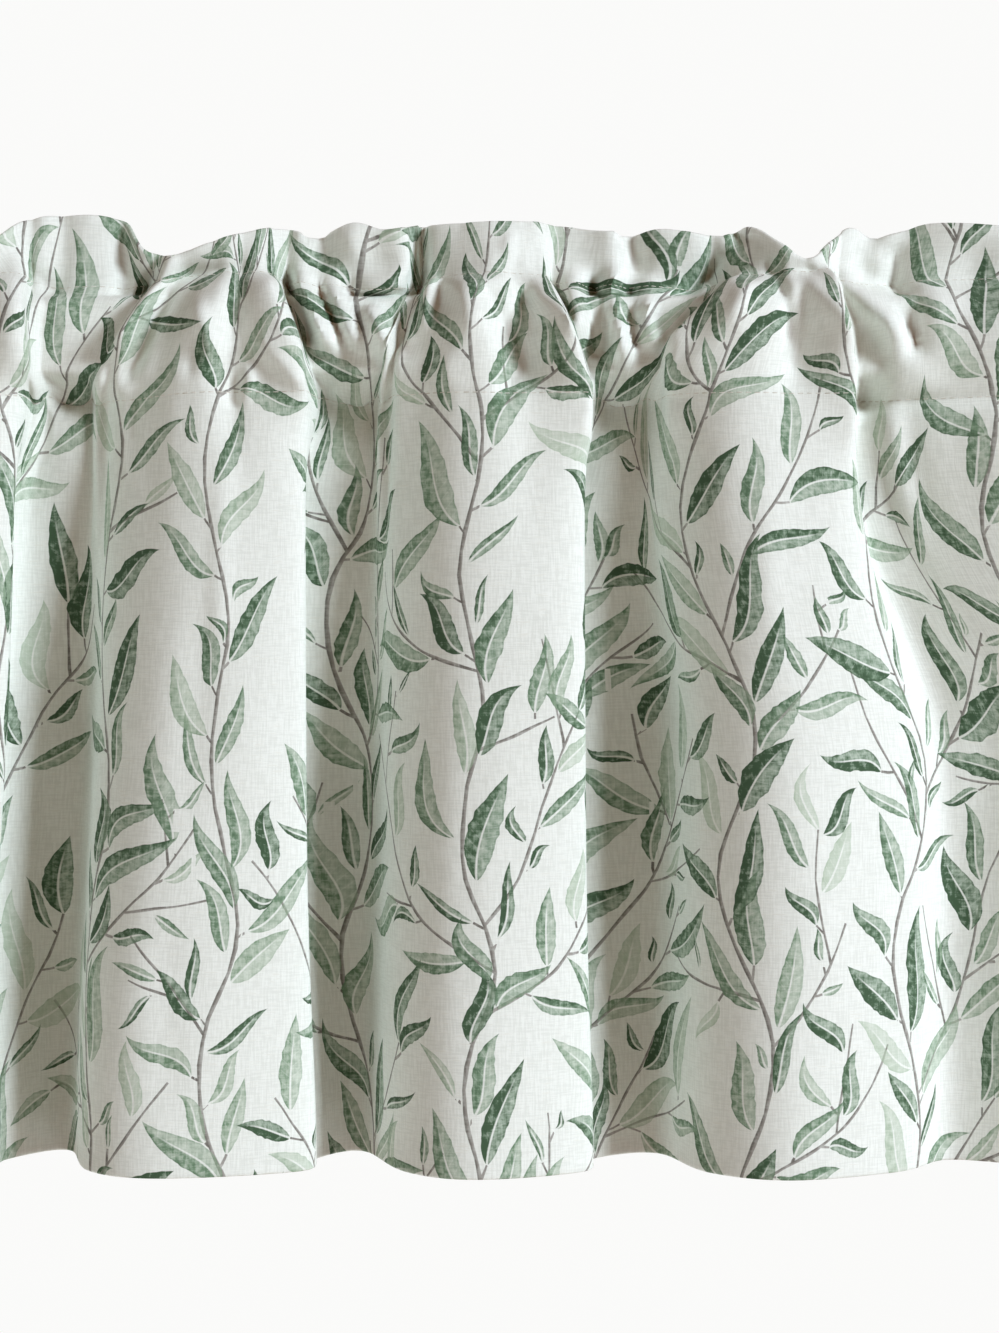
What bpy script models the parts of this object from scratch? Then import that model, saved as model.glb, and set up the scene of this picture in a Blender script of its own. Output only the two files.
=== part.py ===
"""Rod-pocket window valance with a frilled header, hanging in soft uneven folds.

The valance is one hemmed panel of linen-look cloth. Its lower edge is turned up behind as a hem. Its upper
end is folded over to the back and stitched twice: the upper row leaves a frill standing above it, and the
lower row closes the foot of a pocket that is open at both ends. The cloth is gathered, so it hangs in
forward folds whose right edges turn back sharply.

Frame: metres, +Z up, the front facing -Y, the origin at the middle of the top edge.
"""

from collections import namedtuple

import bpy
import numpy as np

# Driving dimensions, in metres
DROP = 0.455  # top of the frill to the hem
FRILL = 0.030  # above the upper stitch row
POCKET = 0.058  # between the two stitch rows
TAIL = 0.006  # of the turned end below the lower stitch row
HEM_TURN = 0.030  # of the hem, turned up behind
CLOTH = 0.0012  # thickness of the cloth
LAYERS = 0.0024  # between the middles of two layers that lie together
ROD_FRONT = 0.0105  # from the middle of the pocket to the nearest cloth in front
FRONT_SWELL = 0.0225  # of the pocket's front past that, at the crown of a fold
ROD_BACK = 0.0130  # from the middle of the pocket to the nearest cloth behind
BACK_SWELL = 0.013  # of the pocket's back past that, behind a recess
NECK_FRONT = 0.016  # how far the folds reach forward at the upper stitch row
NECK_BACK = -0.004  # how far their recesses reach back there
NECK_DIP = 0.005  # how much lower the upper stitch row is drawn in the recesses
FOOT_FRONT = 0.030  # how far the folds reach forward at the lower stitch row
FOOT_BACK = 0.010  # how far their recesses reach back there
HEM_WAVE = 0.034  # how far the folds reach forward and back at the hem
WAVE_BEND = 0.12  # share of the depth over which a fold turns from its forward reach to its backward one
OPENING_POWER = 1.4  # how late the gathers open into the hem's folds: 1 is evenly down the skirt
DEEP_SHARE = 0.5  # of the skirt's height, by which the folds are as deep as at the hem
DEEP_POWER = 0.8  # how soon they deepen before that
NECK_POWER = 1.3  # how fast the folds narrow from the lower stitch row to the upper one
SWELL_POWER = 1.2  # how much less the pocket swells beside a crown than on it
CROWN_POWER = 0.65  # fullness of the pocket's upper half at a crown: 1 is a plain sine
PIT_POWER = 0.8  # fullness of its upper half in a recess
FOOT_POWER = 0.6  # fullness of its lower half in front
BACK_POWER = 0.5  # fullness of its back
FRILL_FLATTER = 0.15  # share of the folds' depth that the frill loses towards its edge
FRILL_EASE = 2  # columns to each side over which the frill's edge evens out

UPPER_ROW = -FRILL
LOWER_ROW = -FRILL - POCKET
HEM = -DROP
CM = 0.01

# Five places across each fold, from left to right: the bottom of the recess, the shoulder where the cloth
# comes forward, the crown, the sharp right edge, and the place just behind that edge where it tucks back.
Fold = namedtuple("Fold", "pit rise crown edge tuck")

# How far back each of these lies, as a share of the half depth: -1 is foremost and 1 is rearmost.
BACK_AT_POCKET = Fold(pit=0.70, rise=-0.20, crown=-1.0, edge=-0.80, tuck=0.30)
BACK_AT_HEM = Fold(pit=0.95, rise=-0.47, crown=-1.0, edge=-0.45, tuck=0.38)

# Where they lie across the foot of the pocket, in centimetres from the middle, one row for each fold
FOLDS_AT_POCKET = (
    Fold(pit=-43.2, rise=-41.9, crown=-40.1, edge=-36.6, tuck=-36.2),
    Fold(pit=-34.8, rise=-33.0, crown=-28.4, edge=-23.0, tuck=-22.5),
    Fold(pit=-20.3, rise=-18.4, crown=-14.5, edge=-9.3, tuck=-8.8),
    Fold(pit=-6.6, rise=-4.9, crown=-1.5, edge=3.9, tuck=4.4),
    Fold(pit=6.4, rise=7.9, crown=11.0, edge=16.3, tuck=16.8),
    Fold(pit=18.6, rise=20.4, crown=24.8, edge=29.9, tuck=30.3),
    Fold(pit=31.9, rise=33.9, crown=38.0, edge=41.9, tuck=42.6),
)

# Where the same places lie across the hem
FOLDS_AT_HEM = (
    Fold(pit=-43.2, rise=-42.0, crown=-40.6, edge=-36.5, tuck=-36.2),
    Fold(pit=-34.4, rise=-32.4, crown=-29.4, edge=-24.4, tuck=-24.0),
    Fold(pit=-21.4, rise=-19.5, crown=-15.8, edge=-9.3, tuck=-8.9),
    Fold(pit=-6.8, rise=-4.5, crown=-1.1, edge=4.1, tuck=4.5),
    Fold(pit=7.7, rise=9.8, crown=13.6, edge=19.0, tuck=21.5),
    Fold(pit=23.5, rise=27.0, crown=30.8, edge=34.5, tuck=34.9),
    Fold(pit=37.3, rise=39.2, crown=41.0, edge=42.7, tuck=43.2),
)

# Where they lie across the upper stitch row, where each fold is drawn together under the frill
FOLDS_AT_NECK = (
    Fold(pit=-43.0, rise=-41.8, crown=-40.1, edge=-37.4, tuck=-36.8),
    Fold(pit=-34.6, rise=-32.6, crown=-28.6, edge=-22.9, tuck=-22.3),
    Fold(pit=-18.9, rise=-15.8, crown=-13.2, edge=-10.8, tuck=-10.0),
    Fold(pit=-5.2, rise=-3.4, crown=-0.8, edge=2.0, tuck=2.8),
    Fold(pit=9.0, rise=11.0, crown=13.4, edge=15.6, tuck=16.2),
    Fold(pit=18.4, rise=20.0, crown=24.2, edge=28.6, tuck=29.4),
    Fold(pit=32.6, rise=34.4, crown=37.8, edge=41.0, tuck=42.0),
)

# How far back and how far forward each fold reaches against the others, how far its cloth laps behind its
# right edge between the pocket and the hem, in centimetres, and the share of the skirt's height by which it
# lies as it does at the hem, in the same order
Reach = namedtuple("Reach", "back front lap opens")
REACHES = (
    Reach(back=0.70, front=0.80, lap=0.9, opens=1.0),
    Reach(back=0.90, front=0.95, lap=1.3, opens=1.0),
    Reach(back=1.12, front=0.92, lap=1.4, opens=1.0),
    Reach(back=1.04, front=1.00, lap=1.5, opens=1.0),
    Reach(back=0.88, front=1.04, lap=0.0, opens=0.5),
    Reach(back=0.25, front=0.52, lap=0.8, opens=0.5),
    Reach(back=0.95, front=0.75, lap=0.0, opens=1.0),
)

# Where the gathers draw the cloth in towards the pocket's middle: the place across and the half width, in
# centimetres, and the share of the swell that each takes away
Pinch = namedtuple("Pinch", "across width share")
PINCHES = (
    Pinch(across=-39.0, width=1.0, share=0.50),
    Pinch(across=-31.6, width=1.2, share=0.55),
    Pinch(across=-28.6, width=0.9, share=0.45),
    Pinch(across=-25.3, width=1.1, share=0.60),
    Pinch(across=-19.2, width=1.2, share=0.55),
    Pinch(across=-16.6, width=0.9, share=0.50),
    Pinch(across=-12.7, width=0.8, share=0.25),
    Pinch(across=-4.3, width=1.0, share=0.55),
    Pinch(across=1.3, width=1.1, share=0.60),
    Pinch(across=7.6, width=1.0, share=0.60),
    Pinch(across=14.0, width=1.2, share=0.45),
    Pinch(across=21.9, width=1.1, share=0.45),
    Pinch(across=27.6, width=1.2, share=0.55),
    Pinch(across=33.2, width=1.0, share=0.50),
    Pinch(across=39.8, width=1.0, share=0.45),
)
PINCH_DEPTH = 0.006  # of the deepest pinch below the lower stitch row and in the frill
PINCH_REACH = 0.090  # how far down the skirt the pinches fade
LAP_STARTS = 0.15  # share of the skirt's height by which the folds lap fully
LAP_ENDS = 0.55  # share of the skirt's height from which they open again

# The frill's upper edge: how far it drops below the highest point and how far it leans forward, in
# centimetres, at places across in centimetres from the middle
Frill = namedtuple("Frill", "across drop lean")
FRILL_EDGE = (
    Frill(-43.5, 0.6, 0.0),
    Frill(-40.8, 0.3, 0.3),
    Frill(-37.6, 1.3, -0.3),
    Frill(-35.8, 0.5, 0.1),
    Frill(-31.0, 0.2, 0.4),
    Frill(-27.6, 0.7, 0.1),
    Frill(-24.6, 1.8, 0.5),
    Frill(-22.8, 0.3, -0.1),
    Frill(-20.2, 0.0, -0.4),
    Frill(-18.1, 0.3, -0.3),
    Frill(-16.8, 1.9, 0.7),
    Frill(-15.4, 2.1, 0.7),
    Frill(-13.0, 1.3, 0.1),
    Frill(-10.2, 0.7, -0.3),
    Frill(-8.8, 1.2, 0.2),
    Frill(-7.0, 0.5, 0.5),
    Frill(-5.5, 0.9, 0.6),
    Frill(-4.2, 0.6, 0.0),
    Frill(-1.0, 0.5, -0.4),
    Frill(3.0, 0.5, -0.4),
    Frill(6.0, 1.0, -0.1),
    Frill(7.8, 0.8, 0.4),
    Frill(10.6, 1.1, 0.3),
    Frill(12.0, 0.7, -0.2),
    Frill(13.4, 1.7, 0.3),
    Frill(14.7, 2.4, 0.4),
    Frill(16.7, 0.7, 0.1),
    Frill(18.3, 1.1, -0.2),
    Frill(20.4, 0.5, 0.2),
    Frill(24.2, 0.7, 0.3),
    Frill(27.4, 0.9, -0.1),
    Frill(29.6, 1.9, 0.5),
    Frill(32.4, 0.5, -0.2),
    Frill(35.6, 0.4, -0.3),
    Frill(38.2, 1.4, 0.4),
    Frill(40.4, 0.6, 0.1),
    Frill(43.5, 0.7, 0.0),
)

# Steps of the mesh between one place and the next in a fold
STEPS = Fold(pit=3, rise=3, crown=3, edge=2, tuck=3)

# Heights of the mesh's rows down the skirt, shares of the pocket's height for its rows in front and behind,
# and the share of the frill's height for the row between its stitches and its edge
SKIRT_ROWS = (HEM + HEM_TURN, -0.355, -0.285, -0.215, -0.155, -0.114)
POCKET_FRONT_ROWS = (1.0, 0.86, 0.70, 0.48, 0.26, 0.13, 0.05, 0.0)
POCKET_BACK_ROWS = (0.0, 0.12, 0.27, 0.50, 0.69, 0.85, 1.0)
FRILL_ROW = 0.5

LINEN_COLOUR = (0.78, 0.78, 0.73, 1.0)
LINEN_ROUGHNESS = 0.9


def smooth(share):
    """An even start and end between 0 and 1."""
    share = np.clip(share, 0.0, 1.0)
    return share * share * (3.0 - 2.0 * share)


def eased_curve(values, places):
    """A Catmull-Rom curve through values, which stand at 0, 1, 2 and so on, read at places."""
    values = np.asarray(values, float)
    first = 2 * values[0] - values[1]
    last = 2 * values[-1] - values[-2]
    padded = np.concatenate([[first], values, [last]])
    start = np.clip(np.floor(places).astype(int), 0, len(values) - 2)
    part = places - start
    a, b, c, d = (padded[start + k] for k in range(4))
    bend = part * (3 * (b - c) + d - a)
    return b + 0.5 * part * ((c - a) + part * ((2 * a - 5 * b + 4 * c - d) + bend))


def flattened(rows):
    """The values of a table of folds, one after another from left to right."""
    return np.array([value for row in rows for value in row], float)


def reached(shares):
    """How far back the places of every fold lie, each as far as its fold reaches."""
    table = [[back * (reach.back if back > 0 else reach.front) for back in shares] for reach in REACHES]
    return flattened(table)


def lapped():
    """How far each place is drawn left where the folds lap most: only the tucks are."""
    return flattened([Fold(pit=0, rise=0, crown=0, edge=0, tuck=reach.lap * CM) for reach in REACHES])


def opened():
    """The share of the skirt's height by which each place lies as it does at the hem."""
    return flattened([Fold(*[reach.opens] * len(Fold._fields)) for reach in REACHES])


def pinched(across):
    """The share of the swell that the pinches take away at each place across."""
    left = np.ones_like(across)
    for pinch in PINCHES:
        left *= 1.0 - pinch.share * np.exp(-(((across / CM - pinch.across) / pinch.width) ** 2))
    return 1.0 - left


def columns():
    """Where the mesh has a column, counted in places from the first pit."""
    steps = flattened([STEPS] * len(FOLDS_AT_POCKET))[:-1].astype(int)
    return np.concatenate([k + np.arange(n) / n for k, n in enumerate(steps)] + [[len(steps)]])


PLACES = columns()
ACROSS_POCKET = eased_curve(flattened(FOLDS_AT_POCKET) * CM, PLACES)
ACROSS_HEM = eased_curve(flattened(FOLDS_AT_HEM) * CM, PLACES)
ACROSS_NECK = eased_curve(flattened(FOLDS_AT_NECK) * CM, PLACES)
BACK_POCKET = eased_curve(reached(BACK_AT_POCKET), PLACES)
BACK_HEM = eased_curve(reached(BACK_AT_HEM), PLACES)
LAPPED = eased_curve(lapped(), PLACES)
OPENED = eased_curve(opened(), PLACES)
PINCHED = pinched(ACROSS_POCKET)
NECK_HEIGHT = UPPER_ROW - NECK_DIP * smooth(0.5 + 0.5 * BACK_POCKET)


def sideways(across, back):
    """The unit normal of a plan curve, pointing to the back of the cloth."""
    run, fall = np.gradient(across), np.gradient(back)
    length = np.hypot(run, fall)
    return -fall / length, run / length


def laid(across, back, height, layer=0.0):
    """A row of points, set off by layer to the back of the cloth."""
    aside, behind = sideways(across, back)
    height = np.broadcast_to(height, across.shape)
    return np.stack([across + layer * aside, back + layer * behind, height], axis=1)


def waved(back, fore, aft):
    """Depths for a fold's shares, from how far it reaches forward and how far back."""
    behind = 0.5 * (1.0 + back / np.hypot(back, WAVE_BEND))
    return back * (fore + (aft - fore) * behind)


def skirt_row(height, layer=0.0):
    """One row of the skirt, which opens from the gathers at the pocket into the full folds of the hem."""
    down = (LOWER_ROW - height) / (LOWER_ROW - HEM)
    share = smooth(down / OPENED) ** OPENING_POWER
    deep = smooth(down / DEEP_SHARE) ** DEEP_POWER
    lap = LAPPED * smooth(down / LAP_STARTS) * (1.0 - smooth((down - LAP_ENDS) / (1.0 - LAP_ENDS)))
    across = ACROSS_POCKET + (ACROSS_HEM - ACROSS_POCKET) * share - lap
    fore = FOOT_FRONT + (HEM_WAVE - FOOT_FRONT) * deep
    aft = FOOT_BACK + (HEM_WAVE - FOOT_BACK) * deep
    back = waved(BACK_POCKET + (BACK_HEM - BACK_POCKET) * share, fore, aft)
    drawn = PINCH_DEPTH * PINCHED * (1.0 - smooth((LOWER_ROW - height) / PINCH_REACH))
    return laid(across, back + drawn, height, layer)


def pocket_row(down, side):
    """One row of the pocket, down from 0 at the upper stitch row to 1 at the lower one, side -1 in front and
    1 behind."""
    fore = NECK_FRONT + (FOOT_FRONT - NECK_FRONT) * down
    aft = NECK_BACK + (FOOT_BACK - NECK_BACK) * down
    back = waved(BACK_POCKET, fore, aft) + PINCH_DEPTH * PINCHED
    across = ACROSS_POCKET + (ACROSS_NECK - ACROSS_POCKET) * (1.0 - down) ** NECK_POWER
    row = laid(across, back, NECK_HEIGHT + (LOWER_ROW - NECK_HEIGHT) * down, side * LAYERS / 2)
    if side > 0:
        power = BACK_POWER
        full = ROD_BACK + BACK_SWELL * (1.0 - PINCHED) * (BACK_POCKET + 1.0) / 2
    else:
        power = PIT_POWER + (CROWN_POWER - PIT_POWER) * smooth(-BACK_POCKET) if down < 0.5 else FOOT_POWER
        crowned = np.clip(0.5 * (1.0 - BACK_POCKET), 0.0, 1.0) ** SWELL_POWER
        full = -ROD_FRONT - FRONT_SWELL * (1.0 - PINCHED) * crowned
    row[:, 1] += (full - row[:, 1]) * np.sin(np.pi * down) ** power
    return row


def frill_row(up, side):
    """One row of the frill, up from 0 at the stitch row to 1 at its edge."""
    table = np.array(FRILL_EDGE) * CM
    window = np.ones(2 * FRILL_EASE + 1)
    eased = np.convolve(np.pad(ACROSS_NECK, FRILL_EASE, "edge"), window / window.sum(), "valid")
    across = ACROSS_NECK + (eased - ACROSS_NECK) * up
    places = np.interp(across, table[:, 0], np.arange(len(table)))
    drop = eased_curve(table[:, 1], places)
    lean = eased_curve(table[:, 2], places)
    drawn = PINCH_DEPTH * PINCHED * (1.0 - up)
    wave = waved(BACK_POCKET, NECK_FRONT, NECK_BACK) * (1.0 - FRILL_FLATTER * up)
    height = NECK_HEIGHT - (NECK_HEIGHT + drop) * up
    return laid(across, wave + drawn - lean * smooth(up), height, side * LAYERS / 2)


def cloth_rows():
    """Every row of the cloth, from the hem's inner edge down, up the front, over the top and down behind."""
    hem = [skirt_row(HEM + HEM_TURN, LAYERS), skirt_row(HEM, LAYERS), skirt_row(HEM)]
    skirt = [skirt_row(height) for height in SKIRT_ROWS]
    front = [pocket_row(down, -1) for down in POCKET_FRONT_ROWS]
    frill = [frill_row(up, -1) for up in (FRILL_ROW, 1.0)] + [frill_row(up, 1) for up in (1.0, FRILL_ROW)]
    behind = [pocket_row(down, 1) for down in POCKET_BACK_ROWS]
    tail = [skirt_row(LOWER_ROW - TAIL, LAYERS)]
    return np.array(hem + skirt + front + frill + behind + tail)


def grid_mesh(name, rows):
    """An open mesh of quads through rows of points, its faces pointing to the front."""
    high, wide = rows.shape[:2]
    corner = np.arange(high * wide).reshape(high, wide)
    quads = np.stack([corner[:-1, :-1], corner[:-1, 1:], corner[1:, 1:], corner[1:, :-1]], axis=-1)
    mesh = bpy.data.meshes.new(name)
    mesh.from_pydata(rows.reshape(-1, 3).tolist(), [], quads.reshape(-1, 4).tolist())
    mesh.shade_smooth()
    return mesh


def linen():
    """Undyed linen-look cloth: pale, matt, faintly warm."""
    material = bpy.data.materials.new("linen_look_cloth")
    material.use_nodes = True
    shader = material.node_tree.nodes["Principled BSDF"]
    shader.inputs["Base Color"].default_value = LINEN_COLOUR
    shader.inputs["Roughness"].default_value = LINEN_ROUGHNESS
    shader.inputs["Metallic"].default_value = 0.0
    return material


def valance_cloth():
    """The whole valance: one panel with its hem, pocket and frill."""
    mesh = grid_mesh("valance_cloth", cloth_rows())
    mesh.materials.append(linen())
    cloth = bpy.data.objects.new("valance_cloth", mesh)
    shell = cloth.modifiers.new("thickness", "SOLIDIFY")
    shell.thickness = CLOTH
    shell.offset = 0.0
    return cloth


def clear_scene():
    """Removes whatever the scene holds."""
    for item in list(bpy.data.objects):
        bpy.data.objects.remove(item, do_unlink=True)


def main():
    clear_scene()
    collection = bpy.data.collections.new("window_valance")
    bpy.context.scene.collection.children.link(collection)
    collection.objects.link(valance_cloth())


main()
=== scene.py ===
"""Printed linen-look window valance with a frilled header, hanging in soft gathered folds.

One hemmed panel of cloth makes the whole valance. Its lower edge is turned up behind as a hem, and its upper
end is folded to the back and stitched twice, so that a frill stands above a pocket for a curtain rod.

Frame: metres, +Z up, the front facing -Y, the origin at the middle of the frill's top edge.
"""

import logging
import math
from dataclasses import dataclass, field
from enum import Enum
from functools import partial
from typing import Iterable, NamedTuple, Sequence

import bpy
import numpy as np
from bpy.types import ID, Material, Mesh, Node, NodeSocket, NodeTree, Object
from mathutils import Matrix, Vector


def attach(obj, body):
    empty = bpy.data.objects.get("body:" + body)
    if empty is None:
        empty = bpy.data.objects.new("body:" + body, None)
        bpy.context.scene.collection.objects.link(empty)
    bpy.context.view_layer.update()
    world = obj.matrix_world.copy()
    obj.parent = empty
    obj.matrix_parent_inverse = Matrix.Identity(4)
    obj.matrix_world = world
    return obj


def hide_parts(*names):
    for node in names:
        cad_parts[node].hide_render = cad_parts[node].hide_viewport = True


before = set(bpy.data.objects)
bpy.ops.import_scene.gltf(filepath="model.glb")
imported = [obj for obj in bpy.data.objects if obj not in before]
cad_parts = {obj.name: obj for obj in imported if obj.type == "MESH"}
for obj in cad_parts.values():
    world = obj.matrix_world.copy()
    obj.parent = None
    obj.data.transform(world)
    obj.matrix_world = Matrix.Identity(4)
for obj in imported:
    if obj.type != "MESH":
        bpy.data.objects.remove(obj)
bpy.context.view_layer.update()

Array = np.ndarray
Pair = tuple[float, float]

log = logging.getLogger("valance")

CM = 0.01
MM = 0.001
BODY = "root"
CLOTH_NODE = "valance_cloth"
TEXTURE_MAP = "OFBake"


# --- Small tools ---


def smooth(share: Array) -> Array:
    """Returns an even start and end between 0 and 1."""
    share = np.clip(share, 0.0, 1.0)
    return share * share * (3.0 - 2.0 * share)


def eased_curve(values: Sequence[float], places: Array) -> Array:
    """Reads a Catmull-Rom curve.

    Args:
        values: what the curve runs through at 0, 1, 2 and so on.
        places: where it is read.

    Returns:
        The curve's value at each place.
    """
    values = np.asarray(values, float)
    padded = np.concatenate([[2 * values[0] - values[1]], values, [2 * values[-1] - values[-2]]])
    start = np.clip(np.floor(places).astype(int), 0, len(values) - 2)
    part = places - start
    a, b, c, d = (padded[start + k] for k in range(4))
    bend = part * (3 * (b - c) + d - a)
    return b + 0.5 * part * ((c - a) + part * ((2 * a - 5 * b + 4 * c - d) + bend))


def evened(values: Array, reach: float) -> Array:
    """Evens a row of values out.

    Args:
        values: one value for each column.
        reach: how far the evening reaches, as columns of one standard deviation.

    Returns:
        The evened row, its ends kept in line.
    """
    size = int(math.ceil(3 * reach))
    window = np.exp(-0.5 * (np.arange(-size, size + 1) / reach) ** 2)
    padded = np.pad(values, size, "reflect", reflect_type="odd")
    return np.convolve(padded, window / window.sum(), "valid")


def lengths_along(line: Array) -> Array:
    """Returns how far along a line each of its points lies, from 0 at the first."""
    return np.concatenate([[0.0], np.cumsum(np.linalg.norm(np.diff(line, axis=0), axis=1))])


def heading(angle: float) -> Array:
    """Returns the unit step on the flat cloth at an angle from the upright."""
    return np.array([math.sin(angle), math.cos(angle)])


def linear(colour: str) -> tuple[float, float, float, float]:
    """Turns an sRGB hex colour such as "#E6E8E2" into a linear one with full alpha."""
    parts = [int(colour[k : k + 2], 16) / 255 for k in (1, 3, 5)]
    return (*[p / 12.92 if p <= 0.04045 else ((p + 0.055) / 1.055) ** 2.4 for p in parts], 1.0)


def feed(node: Node, inputs: dict) -> None:
    """Feeds a node's inputs.

    Args:
        node: the node, in its tree.
        inputs: for each input, by number or name, its own value, the socket that feeds it, or the node whose
            first output does.
    """
    for name, value in inputs.items():
        source = value.outputs[0] if isinstance(value, Node) else value
        if isinstance(source, NodeSocket):
            node.id_data.links.new(source, node.inputs[name])
        else:
            node.inputs[name].default_value = source


def add_node(tree: NodeTree, kind: str, inputs: dict | None = None, **settings) -> Node:
    """Adds one node with its settings and links.

    Args:
        tree: the node tree that takes it.
        kind: Blender's name of the node's type, after ShaderNode.
        inputs: what feeds each input, as for feed.
        **settings: the node's other settings.

    Returns:
        The new node.
    """
    node = tree.nodes.new("ShaderNode" + kind)
    for name, value in settings.items():
        setattr(node, name, value)
    feed(node, inputs or {})
    return node


def new_group(name: str, takes: dict[str, str], gives: dict[str, str]) -> NodeTree:
    """Makes an empty node group.

    Args:
        name: the group's name.
        takes: the kind of each socket that goes in, by the socket's name.
        gives: the kind of each socket that comes out.

    Returns:
        The group's node tree.
    """
    tree = bpy.data.node_groups.new(name, "ShaderNodeTree")
    for way, sockets in (("INPUT", takes), ("OUTPUT", gives)):
        for socket, kind in sockets.items():
            tree.interface.new_socket(socket, in_out=way, socket_type="NodeSocket" + kind)
    return tree


def new_material(name: str) -> tuple[Material, NodeTree, Node]:
    """Makes a material, and returns it with its node tree and its shader."""
    material = bpy.data.materials.new(name)
    material.use_nodes = True
    return material, material.node_tree, material.node_tree.nodes["Principled BSDF"]


def placed(name: str, data: ID) -> Object:
    """Makes an object of a mesh, light or camera and links it to the scene."""
    thing = bpy.data.objects.new(name, data)
    bpy.context.scene.collection.objects.link(thing)
    return thing


def mesh_object(name: str, points: Array, faces: Sequence[Sequence[int]]) -> Object:
    """Makes a mesh object.

    Args:
        name: the name of the object and of its mesh.
        points: its points, in an array of any shape whose last axis is x, y and z.
        faces: the numbers of each face's points.

    Returns:
        The object, linked to the scene.
    """
    mesh = bpy.data.meshes.new(name)
    mesh.from_pydata(points.reshape(-1, 3).tolist(), [], faces)
    return placed(name, mesh)


def read_each(items: Sequence, name: str, kind: type, wide: int = 1) -> Array:
    """Reads one property of every item of a mesh.

    Args:
        items: the mesh's loops, faces or the like.
        name: the property.
        kind: the type of its numbers.
        wide: how many numbers it has.

    Returns:
        The numbers of all items, one after another.
    """
    values = np.empty(len(items) * wide, kind)
    items.foreach_get(name, values)
    return values


def face_corners(values: Array) -> Array:
    """Turns values at a grid's points into values at each face's four corners, in the faces' own order."""
    return np.stack([values[:-1, :-1], values[:-1, 1:], values[1:, 1:], values[1:, :-1]], axis=2)


# --- The panel and how it hangs ---


@dataclass(frozen=True)
class PanelCut:
    """The panel's sizes in metres, as it is cut and sewn."""

    width: float = 1.32
    drop: float = 0.455
    frill: float = 0.030
    pocket: float = 0.058
    tail: float = 0.006  # of the turned end below the lower stitches
    hem_turn: float = 0.030
    cloth: float = 0.0007  # its thickness
    layers: float = 0.0015  # between the middles of two layers that lie together

    @property
    def upper_row(self) -> float:
        """Height of the upper stitch row."""
        return -self.frill

    @property
    def lower_row(self) -> float:
        """Height of the lower stitch row."""
        return -self.frill - self.pocket

    @property
    def hem(self) -> float:
        """Height of the lower edge."""
        return -self.drop


class Fold(NamedTuple):
    """Five places across a fold: recess, left shoulder, crown, sharp right edge, and the tuck behind it."""

    pit: float
    rise: float
    crown: float
    edge: float
    tuck: float


class Reach(NamedTuple):
    """A fold's own depth to the back and front, and how far its tuck laps behind its edge in centimetres.

    opens is the share of the skirt's drop within which the fold takes the shape that it has at the hem.
    """

    back: float
    front: float
    lap: float
    opens: float = 1.0


class Pinch(NamedTuple):
    """A place where the gathers draw the pocket in, in centimetres, and the share of its swell that goes."""

    across: float
    width: float
    share: float


class Frill(NamedTuple):
    """A place along the frill's edge, its drop below the highest point and its lean to the front, in cm."""

    across: float
    drop: float
    lean: float


class Crease(NamedTuple):
    """A soft ridge or trough, given one by one, in centimetres of the front view.

    It runs from (x0, z0) to (x1, z1). left and right are its half widths on either side, seen down its run,
    or above and below for one that runs across. rise is how far it stands forward in millimetres, below zero
    for a trough, and lean how far it is pushed to its right side, so that a narrow edge can overhang. power
    is 2 for a soft round profile and more for a flatter one with steep sides.
    """

    x0: float
    z0: float
    x1: float
    z1: float
    left: float
    right: float
    rise: float
    lean: float = 0.0
    power: float = 2.0


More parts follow.
